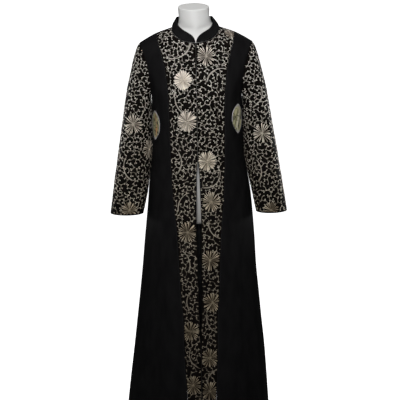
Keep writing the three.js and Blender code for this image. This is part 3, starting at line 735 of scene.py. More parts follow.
def floorPaint():
    finish = Finish("floor_paint")
    cloudy = finish.noise(0.6, 3)
    finish.set(Base_Color=finish.mixed(cloudy, *plain["floor"]))
    finish.set(Roughness=0.8, Specular_IOR_Level=0.1)
    finish.set(Emission_Color=(1, 1, 1, 1), Emission_Strength=studio["floorGlow"])
    return finish.material


def makeFloor():
    half = studio["floorSize"] / 2 / mm
    corners = [(-half, -half, 0), (half, -half, 0), (half, half, 0), (-half, half, 0)]
    floor = addMesh("floor", corners, [(0, 1, 2, 3)], floorPaint())
    floor.location.z = -studio["floorDrop"]
    floor.visible_diffuse = False  # the floor's glow stays off the garment
    floor.visible_glossy = False


# A stretch of cloth that embroidery can be laid on. Its places are pairs (a, b).
class ClothMap:
    def __init__(self, point, outward, stepA, stepB):
        self.point = point
        self.outward = outward
        self.stepA = stepA
        self.stepB = stepB

    def slopes(self, a, b):
        alongA = (self.point(a + self.stepA, b) - self.point(a - self.stepA, b)) / (2 * self.stepA)
        alongB = (self.point(a, b + self.stepB) - self.point(a, b - self.stepB)) / (2 * self.stepB)
        normal = unit(np.cross(alongA, alongB))
        facing = np.sign(dot(normal, self.outward(a, b)))
        return alongA, alongB, normal * facing[..., None]

    def normal(self, a, b):
        return self.slopes(a, b)[2]

    # The places reached from (a, b) by going u across the cloth and v up it
    def moved(self, a, b, u, v):
        alongA, alongB, normal = self.slopes(a, b)
        up = unit(np.array([0.0, 0.0, 1.0]) - normal * normal[..., 2:])
        across = np.cross(up, normal)
        way = u[..., None] * across[:, None, :] + v[..., None] * up[:, None, :]
        aa, ab, bb = dot(alongA, alongA), dot(alongA, alongB), dot(alongB, alongB)
        wayA, wayB = dot(way, alongA[:, None, :]), dot(way, alongB[:, None, :])
        scale = (aa * bb - ab * ab)[:, None]
        shiftA = (bb[:, None] * wayA - ab[:, None] * wayB) / scale
        shiftB = (aa[:, None] * wayB - ab[:, None] * wayA) / scale
        return a[:, None] + shiftA, b[:, None] + shiftB


scroll = {
    "spacing": 15.7,        # least distance between the middles of two curls
    "closer": 0.88,         # at the shoulders, where the curls are smaller
    "closerFrom": 1240,
    "closerTo": 1400,
    "radius": 7.6,          # of a curl, at most
    "radiusShare": 0.47,    # of the way to the next curl
    "lineHalf": 0.95,       # half the width of a line of thread
    "endHalf": 0.8,
    "height": 0.5,
    "sweep": (3.7, 5.0),    # how far round a curl goes, in radians
    "windIn": 1.5,          # the first part of it, in which it comes in from where it starts
    "inward": 0.3,          # how much closer to its middle it ends
    "steps": 17,
    "spurSteps": 6,
    "spurLength": 4.0,
    "spurRoom": 1.4,        # from a spur's end to the next curl, at least
    "spurPlaces": (0.42, 0.75),
    "tries": 12000,
    "edgeRoom": 0.5,
    "seamMargin": 1.3,
    "flowerMargin": 3.0,
    "stemMargin": 6.0,
    "reach": 22.0,          # how far a curl may be from the one that it branches from
    "branchFrom": 0.35,     # the stretch of a curl that others branch from, in radians
    "branchShort": 0.5,
    "turnBack": 0.8,        # how often a curl turns the other way than the one it branches from
    "unevenness": 60,       # of the height at which the curls grow
    "stemGap": 0.5,         # from a first curl's start to the curl, as a share of its radius
    "curlShade": (0.41, 0.16),  # mean and spread of the tone
    "spurShade": (0.44, 0.18),
    "spurStray": 0.25,
    "spurBend": (0.25, 0.6),
    "leastTone": 0.05,
}


# Even but irregular places on the cloth, away from the flowers and the stems
def scatterPlaces(clothMap, inside, rangeA, rangeB, avoid, seed):
    rng = np.random.default_rng(seed)
    a = rng.uniform(*rangeA, scroll["tries"])
    b = rng.uniform(*rangeB, scroll["tries"])
    usable = inside(a, b, scroll["edgeRoom"])
    a, b = a[usable], b[usable]
    points = clothMap.point(a, b)
    for middle, radius in avoid:
        clear = np.linalg.norm(points - middle, axis=1) > radius
        a, b, points = a[clear], b[clear], points[clear]
    cells = {}
    chosen = []
    gap = scroll["spacing"]
    height = (points[:, 2] - scroll["closerFrom"]) / (scroll["closerTo"] - scroll["closerFrom"])
    gaps = gap * (1 - (1 - scroll["closer"]) * np.clip(height, 0, 1))
    for i, point in enumerate(points):
        cell = tuple((point // gap).astype(int))
        near = [
            j
            for dx in (-1, 0, 1)
            for dy in (-1, 0, 1)
            for dz in (-1, 0, 1)
            for j in cells.get((cell[0] + dx, cell[1] + dy, cell[2] + dz), ())
        ]
        if all(np.sum((points[j] - point) ** 2) > gaps[i] ** 2 for j in near):
            cells.setdefault(cell, []).append(i)
            chosen.append(i)
    return a[chosen], b[chosen], points[chosen]


# Curls that branch from one another, as a vine grows: which one, start, hand, sweep, gap
def growVine(points, radius, up, across, tree, rng):
    spread = scroll["unevenness"]
    order = sorted(range(len(points)), key=lambda i: -points[i][2] + rng.uniform(0, spread))
    done = {}
    strokes = []
    for i in order:
        near = [j for _, j, _ in tree.find_range(points[i], scroll["reach"]) if j in done]
        parent = None
        for j in near:
            way = points[i] - points[j]
            bearing = math.atan2(dot(way, up[j]), dot(way, across[j]))
            start, hand, sweep = done[j]
            travelled = (hand * (bearing - start)) % (2 * math.pi)
            if scroll["branchFrom"] < travelled < sweep - scroll["branchShort"]:
                parent = j
                break
        sweep = rng.uniform(*scroll["sweep"])
        if parent is None:
            start, hand = rng.uniform(0, 2 * math.pi), rng.choice((-1, 1))
            gap = scroll["stemGap"] * radius[i]
        else:
            way = points[parent] - points[i]
            start = math.atan2(dot(way, up[i]), dot(way, across[i]))
            hand = done[parent][1] * (-1 if rng.random() < scroll["turnBack"] else 1)
            gap = max(0.0, float(np.linalg.norm(way)) - radius[parent] - radius[i])
        done[i] = (start, hand, sweep)
        strokes.append((i, start, hand, sweep, gap))
    return strokes


# Full at one place along a line, and fading out on both sides of it
def fullAt(share, place, spread):
    return np.exp(-(((share - place) / spread) ** 2))


# Lines round the middles of curls, with the width and the tone of each of their points
def linesRound(clothMap, a, b, angle, reach, wider, shades, lighter):
    width = scroll["lineHalf"] * wider[None, :] * np.ones((len(a), 1))
    width[:, -1] = scroll["endHalf"]
    tone = np.clip(np.array(shades)[:, None] + lighter[None, :], scroll["leastTone"], 1.0)
    return clothMap.moved(a, b, reach * np.cos(angle), reach * np.sin(angle)), width, tone


# The curls, each with a foot and a round end
def curlLines(clothMap, a, b, radius, strokes, rng):
    share = np.linspace(0, 1, scroll["steps"])
    picked = np.array([stroke[0] for stroke in strokes])
    start, hand, sweep, gap = (np.array([s[k] for s in strokes])[:, None] for k in (1, 2, 3, 4))
    angle = start + hand * sweep * share
    eased = np.clip(1 - share * sweep / scroll["windIn"], 0, 1) ** 1.6
    inward = 1 - scroll["inward"] * np.clip((share - 0.5) / 0.5, 0, 1) ** 1.3
    reach = radius[picked][:, None] * inward + gap * eased
    bulb, foot = fullAt(share, 0.92, 0.08), fullAt(share, 0.0, 0.1)
    wider, lighter = 0.85 + 1.35 * bulb + 0.7 * foot, 0.65 * bulb + 0.4 * foot
    shades = [rng.gauss(*scroll["curlShade"]) for _ in strokes]
    return linesRound(clothMap, a[picked], b[picked], angle, reach, wider, shades, lighter)


# Spurs that leave the outer side of a curl where there is room
def spurLines(clothMap, a, b, points, radius, up, across, tree, strokes, rng):
    spurs = []
    for i, begins, turned, swept, _ in strokes:
        for part in scroll["spurPlaces"]:
            stray = rng.uniform(-scroll["spurStray"], scroll["spurStray"])
            bearing = begins + turned * swept * part + stray
            out = np.cos(bearing) * across[i] + np.sin(bearing) * up[i]
            end = points[i] + out * (radius[i] + scroll["spurLength"])
            others = [far - radius[j] for _, j, far in tree.find_n(Vector(end), 4) if j != i]
            if min(others) > scroll["spurRoom"]:
                spurs.append((i, bearing, turned * rng.uniform(*scroll["spurBend"])))
    share = np.linspace(0, 1, scroll["spurSteps"])
    picked = np.array([spur[0] for spur in spurs])
    bearing, bend = (np.array([spur[k] for spur in spurs])[:, None] for k in (1, 2))
    reach = radius[picked][:, None] + scroll["spurLength"] * share
    angle = bearing + bend * share**2
    bulb = fullAt(share, 0.8, 0.25)
    shades = [rng.gauss(*scroll["spurShade"]) for _ in spurs]
    return linesRound(
        clothMap, a[picked], b[picked], angle, reach, 0.75 + 1.15 * bulb, shades, 0.5 * bulb
    )


def scrollLines(clothMap, inside, rangeA, rangeB, avoid, seed):
    a, b, points = scatterPlaces(clothMap, inside, rangeA, rangeB, avoid, seed)
    rng = random.Random(seed)
    tree = kdtree.KDTree(len(points))
    for i, point in enumerate(points):
        tree.insert(point, i)
    tree.balance()
    normal = clothMap.normal(a, b)
    up = unit(np.array([0.0, 0.0, 1.0]) - normal * normal[..., 2:])
    across = np.cross(up, normal)
    nearest = np.array([tree.find_n(point, 2)[-1][2] for point in points])
    radius = np.minimum(scroll["radiusShare"] * nearest, scroll["radius"])
    strokes = growVine(points, radius, up, across, tree, rng)
    curls = curlLines(clothMap, a, b, radius, strokes, rng)
    return curls, spurLines(clothMap, a, b, points, radius, up, across, tree, strokes, rng)


stem = {
    "steps": 40,
    "apart": 2.9,           # of each of its two lines from its middle
    "half": 1.0,            # half the width of a line, at its start
    "taper": 0.3,
    "tone": 0.5,
    "toneRise": 0.2,
}


# Long bowed stems, drawn as two lines side by side
def stemStrokes(clothMap, rows):
    share = np.linspace(0, 1, stem["steps"])
    placesA, placesB, widths, tones = [], [], [], []
    for row in rows:
        bearing = math.radians(row["bearing"]) + math.radians(row["bend"]) * (share - 0.5)
        step = row["length"] / (stem["steps"] - 1)
        for offset in (-stem["apart"], stem["apart"]):
            u = np.cumsum(np.cos(bearing)) * step - offset * np.sin(bearing) * (1 - share**3)
            v = np.cumsum(np.sin(bearing)) * step + offset * np.cos(bearing) * (1 - share**3)
            a, b = clothMap.moved(
                np.array([row["a"]]), np.array([row["b"]]), u[None] - u.mean(), v[None] - v.mean()
            )
            placesA.append(a[0])
            placesB.append(b[0])
            widths.append(stem["half"] * (1 - stem["taper"] * share**4))
            tones.append(stem["tone"] + stem["toneRise"] * share)
    return (np.array(placesA), np.array(placesB)), np.array(widths), np.array(tones)


petal = {
    "steps": 10,
    "fullFrom": 30,         # a flower with this many petals has shorter ones over them
    "stray": 0.2,           # from its even place round the flower, as a share of a step
    "length": (0.9, 1.04),
    "bend": 0.12,
    "width": (0.75, 1.1),
    "tall": 1.06,           # flowers are a little taller than wide
    "toneDrop": 0.12,
    "toneSpread": 0.3,
    "tipLight": 0.48,
    "leastTone": 0.03,
    "foot": 0.25,           # the width of a petal's foot, as a share of its full width
    "tip": (0.85, 0.4),
    "edgeHeight": 0.6,
}


# Petals of a chrysanthemum: long narrow ones with gaps, and in a full one shorter ones over them
def flowerStrokes(clothMap, rows, seed):
    rng = random.Random(seed)
    share = np.linspace(0, 1, petal["steps"])
    placesA, placesB, widths, heights, tones = [], [], [], [], []
    for row in rows:
        count = row["petals"]
        fat = math.pi * row["radius"] * row["cover"] / count
        rings = [  # petals, from and to as shares of the radius, half width, height, lighter by
            (count, 0.10, 1.0, fat, 0.8, 0.0),
            (6, 0.0, 0.13, 1.1, 1.5, 0.4),
        ]
        if count >= petal["fullFrom"]:
            rings.append((count, 0.15, 0.93, fat * 0.9, 0.45, row["under"]))
            rings.append((int(count * 0.45), 0.1, 0.62, 0.8, 1.25, 0.0))
        for petals, inner, outer, half, height, lighter in rings:
            turned = rng.uniform(0, 1)
            for k in range(petals):
                angle = 2 * math.pi * (k + turned + rng.uniform(-petal["stray"], petal["stray"])) / petals
                length = row["radius"] * (outer * rng.uniform(*petal["length"]) - inner)
                bend = rng.uniform(-petal["bend"], petal["bend"])
                reach = row["radius"] * inner + length * share
                bearing = angle + bend * share
                u, v = reach * np.cos(bearing), petal["tall"] * reach * np.sin(bearing)
                a, b = clothMap.moved(np.array([row["a"]]), np.array([row["b"]]), u[None], v[None])
                placesA.append(a[0])
                placesB.append(b[0])
                swell = petal["foot"] + (1 - petal["foot"]) * np.clip((share - 0.05) / 0.75, 0, 1) ** 1.3
                swell[-2:] *= petal["tip"]
                widths.append(half * rng.uniform(*petal["width"]) * swell)
                crowned = petal["edgeHeight"] + (1 - petal["edgeHeight"]) * np.sin(np.pi * share)
                heights.append(height * crowned)
                shade = rng.gauss(row["tone"] + lighter - petal["toneDrop"], petal["toneSpread"])
                tones.append(np.clip(shade + petal["tipLight"] * share**3, petal["leastTone"], 1))
    places = np.array(placesA), np.array(placesB)
    return places, np.array(widths), np.array(heights), np.array(tones)


def embroider(name, clothMap, inside, rangeA, rangeB, flowers, stems, seed):
    avoid = []
    for row in flowers:
        middle = clothMap.point(np.array([row["a"]]), np.array([row["b"]]))[0]
        avoid.append((middle, row["radius"] + scroll["flowerMargin"]))
    stemLines = stemStrokes(clothMap, stems)
    for point in clothMap.point(*stemLines[0]).reshape(-1, 3)[::3]:
        avoid.append((point, scroll["stemMargin"]))
    curls, spurs = scrollLines(clothMap, inside, rangeA, rangeB, avoid, seed)
    for part, (places, width, tone) in (("curls", curls), ("spurs", spurs), ("stems", stemLines)):
        keep = inside(*places, scroll["seamMargin"])
        piece = ribbonMesh(
            f"{name}_{part}", clothMap.point(*places), clothMap.normal(*places), width,
            scroll["height"], finishes["scroll"], keep, tone,
        )
        settle(piece, "scroll_cloth")
    petals, width, height, tone = flowerStrokes(clothMap, flowers, seed + 1)
    keep = inside(*petals, scroll["seamMargin"])
    piece = ribbonMesh(
        f"{name}_flowers", clothMap.point(*petals), clothMap.normal(*petals), width,
        height, finishes["flower"], keep, tone,
    )
    settle(piece, "scroll_cloth")


# Centre fronts: the flowers' places are across and up from the floor, in millimetres
frontFlowers = table("side x z radius petals cover tone under", [
    (1, 34, 1345, 33, 24, 0.37, 0.52, -0.4), (-1, 45, 1268, 32, 40, 0.62, 0.9, -0.4),
    (-1, 34, 1132, 35, 32, 0.46, 0.72, -0.5), (1, 31, 996, 33, 32, 0.46, 0.68, -0.5),
    (1, 43, 857, 33, 28, 0.40, 0.52, -0.5), (-1, 39, 755, 34, 26, 0.36, 0.38, -0.5),
    (1, 36, 657, 34, 28, 0.38, 0.44, -0.5), (1, 42, 508, 33, 26, 0.38, 0.47, -0.5),
    (-1, 37, 407, 33, 28, 0.38, 0.38, -0.5), (1, 30, 312, 33, 28, 0.38, 0.4, -0.5),
    (1, 28, 192, 33, 28, 0.38, 0.4, -0.5), (-1, 30, 215, 32, 26, 0.38, 0.4, -0.5),
    (1, 119, 1411, 23, 24, 0.55, 0.05, -0.1), (-1, 28, 90, 30, 26, 0.38, 0.4, -0.5),
])
frontStems = table("side x z bearing bend length", [
    (-1, 50, 1352, -34, 95, 96), (1, 62, 1292, 30, -100, 92), (-1, 66, 1196, 72, 80, 84),
    (-1, 62, 1000, 84, -95, 100), (1, 56, 924, 40, 110, 92), (-1, 58, 862, 118, 80, 80),
    (1, 50, 752, -52, 90, 92), (-1, 40, 655, 75, -80, 84), (1, 34, 428, -60, 90, 88),
    (-1, 40, 520, 100, 90, 80), (1, 36, 252, 50, -90, 76), (-1, 34, 310, 70, 90, 74),
])
centreFront = {
    "neckColumns": 14, "shoulderColumns": 7, "flat": (0.14, 1.42), "area": 0.106,
    "plainEdge": 2.2,       # clear of embroidery beside the opening, near the neck
    "plainFrom": 1300,
    "edgeColumns": 4,       # the columns over which the opening's shape fades out
    "turns": (0, 0.80),     # where to look for places for the embroidery
    "seed": {-1: 11, 1: 23},
}


# A panel of the body with its turned-up hem, and the directions in which it faces
def bodyPanel(name, grid, finish):
    normals = gridNormals(grid, axisAt(grid[..., 2]))
    hem = (grid[..., 2] < cut["hemZ"] + cut["hemDepth"]).astype(float)
    return clothWall(name, grid, normals, finish, cut["wall"], hem=hem), normals


# The rows of a table for one side, as copies
def rowsOf(rows, side):
    return [dict(row) for row in rows if row["side"] == side]


def frontMap(side):
    def point(a, b):
        return clothPoint("front", side, a, b)

    def outward(a, b):
        return point(a, b) - axisAt(b)

    return ClothMap(point, outward, 0.004, 1.0)


def insideFront(side):
    def inside(a, b, margin):
        place = clothPoint("front", side, a, b)
        x = np.abs(place[..., 0]) * (np.sign(a) >= 0)
        bare = centreFront["plainEdge"] * (b > centreFront["plainFrom"])
        clear = (x > openingHalf(b) + margin + bare) & (x < panelSeamX(b) - margin)
        return clear & (b < topEdgeZ("front", x) - margin) & (b > cut["hemZ"] + margin)

    return inside


def makeCentreFront(side, name):
    columns = centreFront["neckColumns"], centreFront["shoulderColumns"]
    shares = neckShares("front", side, "panelSeam", *columns)
    grid = panelGrid("front", side, "middle", "panelSeam", shares)
    half = openingHalf(grid[:, 0, 2])
    fade = np.clip(1 - np.arange(grid.shape[1]) / centreFront["edgeColumns"], 0, 1)
    grid[:, :, 0] += side * half[:, None] * fade[None, :]
    grid = trimmed(grid, ("last", "top"))
    piece, normals = bodyPanel("cloth_front_centre_" + name, grid, finishes["ground"])
    settle(piece, "scroll_cloth", "front_centre_" + name)
    rows, stems = rowsOf(frontFlowers, side), rowsOf(frontStems, side)
    for row in rows + stems:
        row["b"] = row["z"]
        row["a"] = float(turnOf(side, row["x"], row["z"]))
    if side < 0:  # seen from the front, the left side's turns run the other way
        for row in stems:
            row["bearing"] = 180 - row["bearing"]
            row["bend"] = -row["bend"]
    heights = cut["hemZ"], cut["shoulderPointZ"]
    embroider(
        "front_" + name, frontMap(side), insideFront(side), centreFront["turns"], heights,
        rows, stems, centreFront["seed"][side],
    )
    return grid, normals


sideFront = {"columns": 34, "flat": (0.30, 1.40), "area": {-1: 0.267, 1: 0.260}}


def makeSideFront(side, name):
    grid = panelGrid("front", side, "panelSeam", "front", np.linspace(0, 1, sideFront["columns"] + 1))
    grid = trimmed(grid, ("first", "last", "top"))
    piece, normals = bodyPanel("cloth_front_side_" + name, grid, finishes["crepe"])
    settle(piece, "black_crepe", "front_side_" + name)
    return grid, normals


backPanel = {"neckColumns": 12, "shoulderColumns": 32, "flat": (0.78, 1.42), "area": 0.740}


def makeBack():
    halves = []
    for side in (-1, 1):
        shares = neckShares("back", side, "back", backPanel["neckColumns"], backPanel["shoulderColumns"])
        halves.append(panelGrid("back", side, "middle", "back", shares))
    grid = np.concatenate([halves[0][:, ::-1], halves[1][:, 1:]], axis=1)
    grid = trimmed(grid, ("first", "last", "top"))
    piece, normals = bodyPanel("cloth_back", grid, finishes["crepe"])
    settle(piece, "black_crepe", "back")
    return grid, normals


# Sleeves
sleeveRings = table("outX outZ inLeft inRight inZ midY half skew", [
    (188, 1386, 154.5, 155.5, 1195, 0, 55, 0), (198, 1372, 155.3, 156.4, 1184, 0, 56, 6),
    (206, 1351, 155, 156.1, 1171, -1, 57, 14), (215, 1322, 154.3, 155.7, 1155, -2, 57, 19),
    (224, 1285, 154.1, 155.6, 1136, -3, 56, 22), (235, 1242, 154.2, 155.8, 1115, -5, 55, 25),
    (245, 1190, 154.3, 156, 1090, -7, 54, 27), (254, 1135, 154.5, 156.5, 1062, -9, 53, 29),
    (263, 1080, 155.3, 157.7, 1030, -12, 52, 31), (272, 1028, 156.9, 160, 996, -15, 51, 32),
    (280, 975, 161.4, 165.8, 957, -18, 50, 31), (288.5, 925, 169.2, 175.3, 913, -21, 49, 25),
    (295.5, 878, 175.8, 184.6, 870, -25, 47, 14), (301.5, 838, 184.2, 192.2, 833, -29, 45.5, 6),
    (307, 800, 192, 199, 798, -32, 44, 2),
])
for ringNumber, ring in enumerate(sleeveRings):
    ring["ring"] = ringNumber
sleeveKeys = "outX outZ inLeft inRight inZ midY half skew"
sleeveCurves = {key: curve(sleeveRings, "ring", key) for key in sleeveKeys.split()}
# Creases of a sleeve, from one turn and ring to another; turns run from its outer line by the front
sleeveCreases = table("turnA ringA turnB ringB width depth", [
    (150, 6.2, 70, 7.6, 8, 2.0), (158, 7.4, 80, 8.3, 7, -2.2), (150, 8.6, 60, 8.9, 8, 2.3),
    (162, 9.4, 90, 9.7, 7, -2.0), (40, 8.0, 100, 9.2, 9, 1.6), (120, 3.0, 60, 5.4, 11, 1.8),
    (95, 1.6, 70, 4.2, 9, -1.6), (200, 6.6, 280, 8.0, 9, 2.2), (205, 8.2, 290, 8.8, 8, -2.2),
    (210, 9.6, 300, 10.2, 8, 2.0), (240, 2.4, 290, 5.0, 11, 1.8), (120, 11.4, 60, 12.0, 9, 1.3),
    (250, 11.8, 310, 12.6, 9, 1.4), (20, 5.4, 335, 6.6, 10, -1.4),
])
sleeve = {
    "fadeRings": 5, "turns": 88, "ringStep": 0.115, "lastRing": 14, "flat": (0.36, 0.60), "area": 0.167,
    "stations": 240,        # round the armhole
    "ringPitch": 42.0,      # from ring to ring, about
    "radiusHere": 55.0,
    "armpitRoom": 1.3, "armpitTurn": 0.52, "armpitRings": 1.2,  # keeps it clear of the side below
    "edgeRings": (0.05, 0.08),  # clear of embroidery at the armhole and the cuff
    "hemFromRing": 13.4,
    "hemStep": 20,
    "cuffLine": 0.8,        # its stitches lie closer to the edge than the skirt's
    "seed": {-1: 37, 1: 41},
}
sleeveFlowers = table("side turn ring radius petals cover tone under", [
    (-1, 74, 6.9, 33, 24, 0.36, 0.62, -0.4), (-1, 143, 8.4, 30, 26, 0.42, 0.32, -0.4),
    (-1, 98, 13.5, 28, 26, 0.42, 0.2, -0.2), (1, 77, 7.7, 33, 22, 0.35, 0.75, -0.4),
    (1, 92, 13.7, 27, 26, 0.42, 0.2, -0.2), (-1, 268, 5.2, 33, 30, 0.44, 0.62, -0.5),
    (-1, 236, 10.6, 32, 26, 0.38, 0.56, -0.5), (1, 262, 6.0, 33, 30, 0.44, 0.62, -0.5),
    (1, 292, 10.9, 32, 26, 0.38, 0.56, -0.5),
])
sleeveStems = table("side turn ring bearing bend length", [
    (-1, 108, 4.6, 76, 90, 80), (-1, 66, 10.3, 105, -90, 90), (1, 64, 5.2, 66, 90, 84),
    (1, 104, 10.4, 96, 90, 84), (-1, 300, 8.2, 80, 80, 80), (1, 230, 8.8, 100, -80, 80),
])


def ringPoint(side, angle, ring):
    at = {key: sleeveCurves[key](ring) for key in sleeveCurves}
    inX = at["inLeft"] if side < 0 else at["inRight"]
    reach = np.cos(angle) / 2
    x = (at["outX"] + inX) / 2 + reach * (at["outX"] - inX)
    y = at["midY"] - np.sin(angle) * at["half"] + (0.5 - reach) * at["skew"]
    z = (at["outZ"] + at["inZ"]) / 2 + reach * (at["outZ"] - at["inZ"])
    return stack(side * x, y, z)


def ringMiddle(side, ring):
    return (ringPoint(side, 0.0, ring) + ringPoint(side, np.pi, ring)) / 2


# How far the armhole's edge lies from the sleeve's first ring, all round it
def armholeShift(side):
    angles = 2 * np.pi * np.arange(sleeve["stations"]) / sleeve["stations"]
    shifts = np.zeros((sleeve["stations"], 3))
    middle, reach = armholeSpan()
    for face, chosen in (("front", angles <= np.pi), ("back", angles > np.pi)):
        row = angles[chosen] / np.pi if face == "front" else 2 - angles[chosen] / np.pi
        level = middle + reach * np.cos(np.pi * row)
        first = "panelSeam" if face == "front" else "middle"

        def edge(share, down=0.0):
            top = columnTop(face, side, first, face, np.array([share]))
            z = level + down + (1 - row) * (top - cut["armholeTopZ"])
            return clothPoint(face, side, columnTurn(side, first, face, share, z), z)

        place = edge(1.0)
        along = unit(place - edge(0.98))
        out = unit(np.cross(place - edge(0.98), edge(1.0, -1.0) - place))
        out = out * np.sign(dot(out, place - axisAt(place[:, 2])))[:, None]
        start = place + cut["layGap"] * (out + along)
        shifts[chosen] = start - ringPoint(side, angles[chosen], np.zeros(chosen.sum()))
    return angles, shifts


def sleeveMap(side):
    angles, shifts = armholeShift(side)
    period = 2 * np.pi

    def point(a, b):
        a, b = np.broadcast_arrays(a, b)
        shift = np.stack([np.interp(a % period, angles, shifts[:, i], period=period) for i in range(3)], -1)
        fade = np.clip(1 - b / sleeve["fadeRings"], 0, 1) ** 2
        place = ringPoint(side, a, b) + shift * fade[..., None]
        swell = np.zeros(a.shape)
        radius, pitch = sleeve["radiusHere"], sleeve["ringPitch"]
        spot = (a % period) * radius, b * pitch
        for crease in sleeveCreases:
            start = math.radians(crease["turnA"]) * radius, crease["ringA"] * pitch
            end = math.radians(crease["turnB"]) * radius, crease["ringB"] * pitch
            swell = swell + creaseAt(*spot, start, end, crease["width"], crease["depth"])
        swell = swell * (1 - fade)
        awayTurn = ((a % period) - np.pi) / sleeve["armpitTurn"]
        awayRing = b / sleeve["armpitRings"]
        place[..., 0] += side * sleeve["armpitRoom"] * np.exp(-(awayTurn**2) - awayRing**2)
        return place + unit(place - ringMiddle(side, b)) * swell[..., None]

    def outward(a, b):
        return ringPoint(side, a, b) - ringMiddle(side, b)

    return ClothMap(point, outward, 0.01, 0.02)


def insideSleeve(a, b, margin):
    room = margin / sleeve["ringPitch"]
    top, foot = sleeve["edgeRings"]
    return (b > top + room) & (b < sleeve["lastRing"] - foot - room)


def makeSleeve(side, name):
    clothMap = sleeveMap(side)
    turns = 2 * np.pi * np.arange(sleeve["turns"]) / sleeve["turns"]
    rings = np.linspace(0, sleeve["lastRing"], int(sleeve["lastRing"] / sleeve["ringStep"]) + 1)
    grid = clothMap.point(turns[None, :], rings[:, None])
    normals = gridNormals(grid, ringMiddle(side, rings)[:, None, :], closed=True)
    hem = np.clip((rings - sleeve["hemFromRing"]) * sleeve["hemStep"], 0, 1)
    hem = hem[:, None] * np.ones((1, len(turns)))
    piece = clothWall("cloth_sleeve_" + name, grid, normals, finishes["ground"], cut["wall"], True, hem)
    settle(piece, "scroll_cloth", "sleeve_" + name)
    rows, stems = rowsOf(sleeveFlowers, side), rowsOf(sleeveStems, side)
    for row in rows + stems:
        row["a"] = math.radians(row["turn"])
        row["b"] = row["ring"]
    embroider(
        "sleeve_" + name, clothMap, insideSleeve, (0, 2 * math.pi), (0, sleeve["lastRing"]),
        rows, stems, sleeve["seed"][side],
    )
    return grid, normals


# Collar
collarShape = table("turn rise lean", [
    (0, 5, 0.5), (1.5, 7.5, 1), (3.2, 13.5, 2), (6.7, 20, 3), (12, 25.5, 5),
    (20, 29.5, 8), (32, 31.5, 12), (48, 32, 15), (70, 31.5, 18), (90, 32, 19.5),
    (115, 36, 15), (145, 39, 9), (180, 40, 4),
])
collar = {
    "firstTurn": 1.0, "turnCurve": 1.5, "columns": 70, "levels": 12, "leanCurve": 1.3, "wall": 2.0,
    "bulge": 0.5, "flat": (0.46, 0.042), "area": 0.0155,
    "seat": 1.5,            # how far it stands above the neckline, in gaps
    "stitchInset": 2.5,
}


def necklinePoint(side, turn):
    x = cut["neckHalfWidth"] * np.sin(turn)
    points = np.zeros((len(turn), 3))
    for face, chosen in (("front", turn <= np.pi / 2), ("back", turn > np.pi / 2)):
        part = np.minimum(x[chosen], cut["neckHalfWidth"] - 1e-6)
        z = topEdgeZ(face, part)
        points[chosen] = clothPoint(face, side, turnOf(side, part, z), z)
    return points


def makeCollar():
    share = np.linspace(0, 1, collar["columns"] + 1)
    turns = collar["firstTurn"] + (180 - collar["firstTurn"]) * share ** collar["turnCurve"]
    rise = curve(collarShape, "turn", "rise")(turns)
    lean = curve(collarShape, "turn", "lean")(turns)
    levels = np.linspace(0, 1, collar["levels"] + 1)[:, None]
    halves = []
    for side in (-1, 1):
        foot = necklinePoint(side, np.radians(turns))[None]
        inward = unit(foot * np.array([-1.0, -1.0, 0.0]))
        leant = lean[None, :] * levels ** collar["leanCurve"] - collar["bulge"] * np.sin(np.pi * levels)
        grid = foot + inward * leant[..., None]
        grid[..., 2] = foot[..., 2] + collar["seat"] * cut["layGap"] + rise[None, :] * levels
        grid[..., 0] -= cut["neckSway"] * np.maximum(0, grid[..., 2] - cut["shoulderPointZ"])
        halves.append(grid)
    grid = np.concatenate([halves[0], halves[1][:, ::-1][:, 1:]], axis=1)
    normals = gridNormals(grid, stack(0, 0, grid[..., 2]))
    piece = clothWall("cloth_collar", grid, normals, finishes["collar"], collar["wall"])
    settle(piece, "black_crepe", "collar")
    return grid, normals


# Pointed pieces under the arms
underarmPatches = table("name side turn half z length", [
    ("left", -1, 66.5, 11.5, 1110, 100), ("right", 1, 61.8, 12.6, 1129, 100),
])
patch = {
    "wall": 1.0, "rows": 36, "columns": 14, "flat": (0.055, 0.104), "area": {-1: 0.0038, 1: 0.0042},
    "rimHalf": 0.95, "rimHeight": 1.5, "rimSteps": 60,
    "rimReach": 0.985,      # of its length, from the middle
    "rowReach": 1.35,
    "quilt": 0.5,
    "topCurve": 3, "footCurve": 2.1,
}


# How wide such a piece is at a share of its length, from -1 at the top to 1 at the foot
def patchWidth(share):
    return 1 - np.abs(share) ** np.where(share < 0, patch["topCurve"], patch["footCurve"])


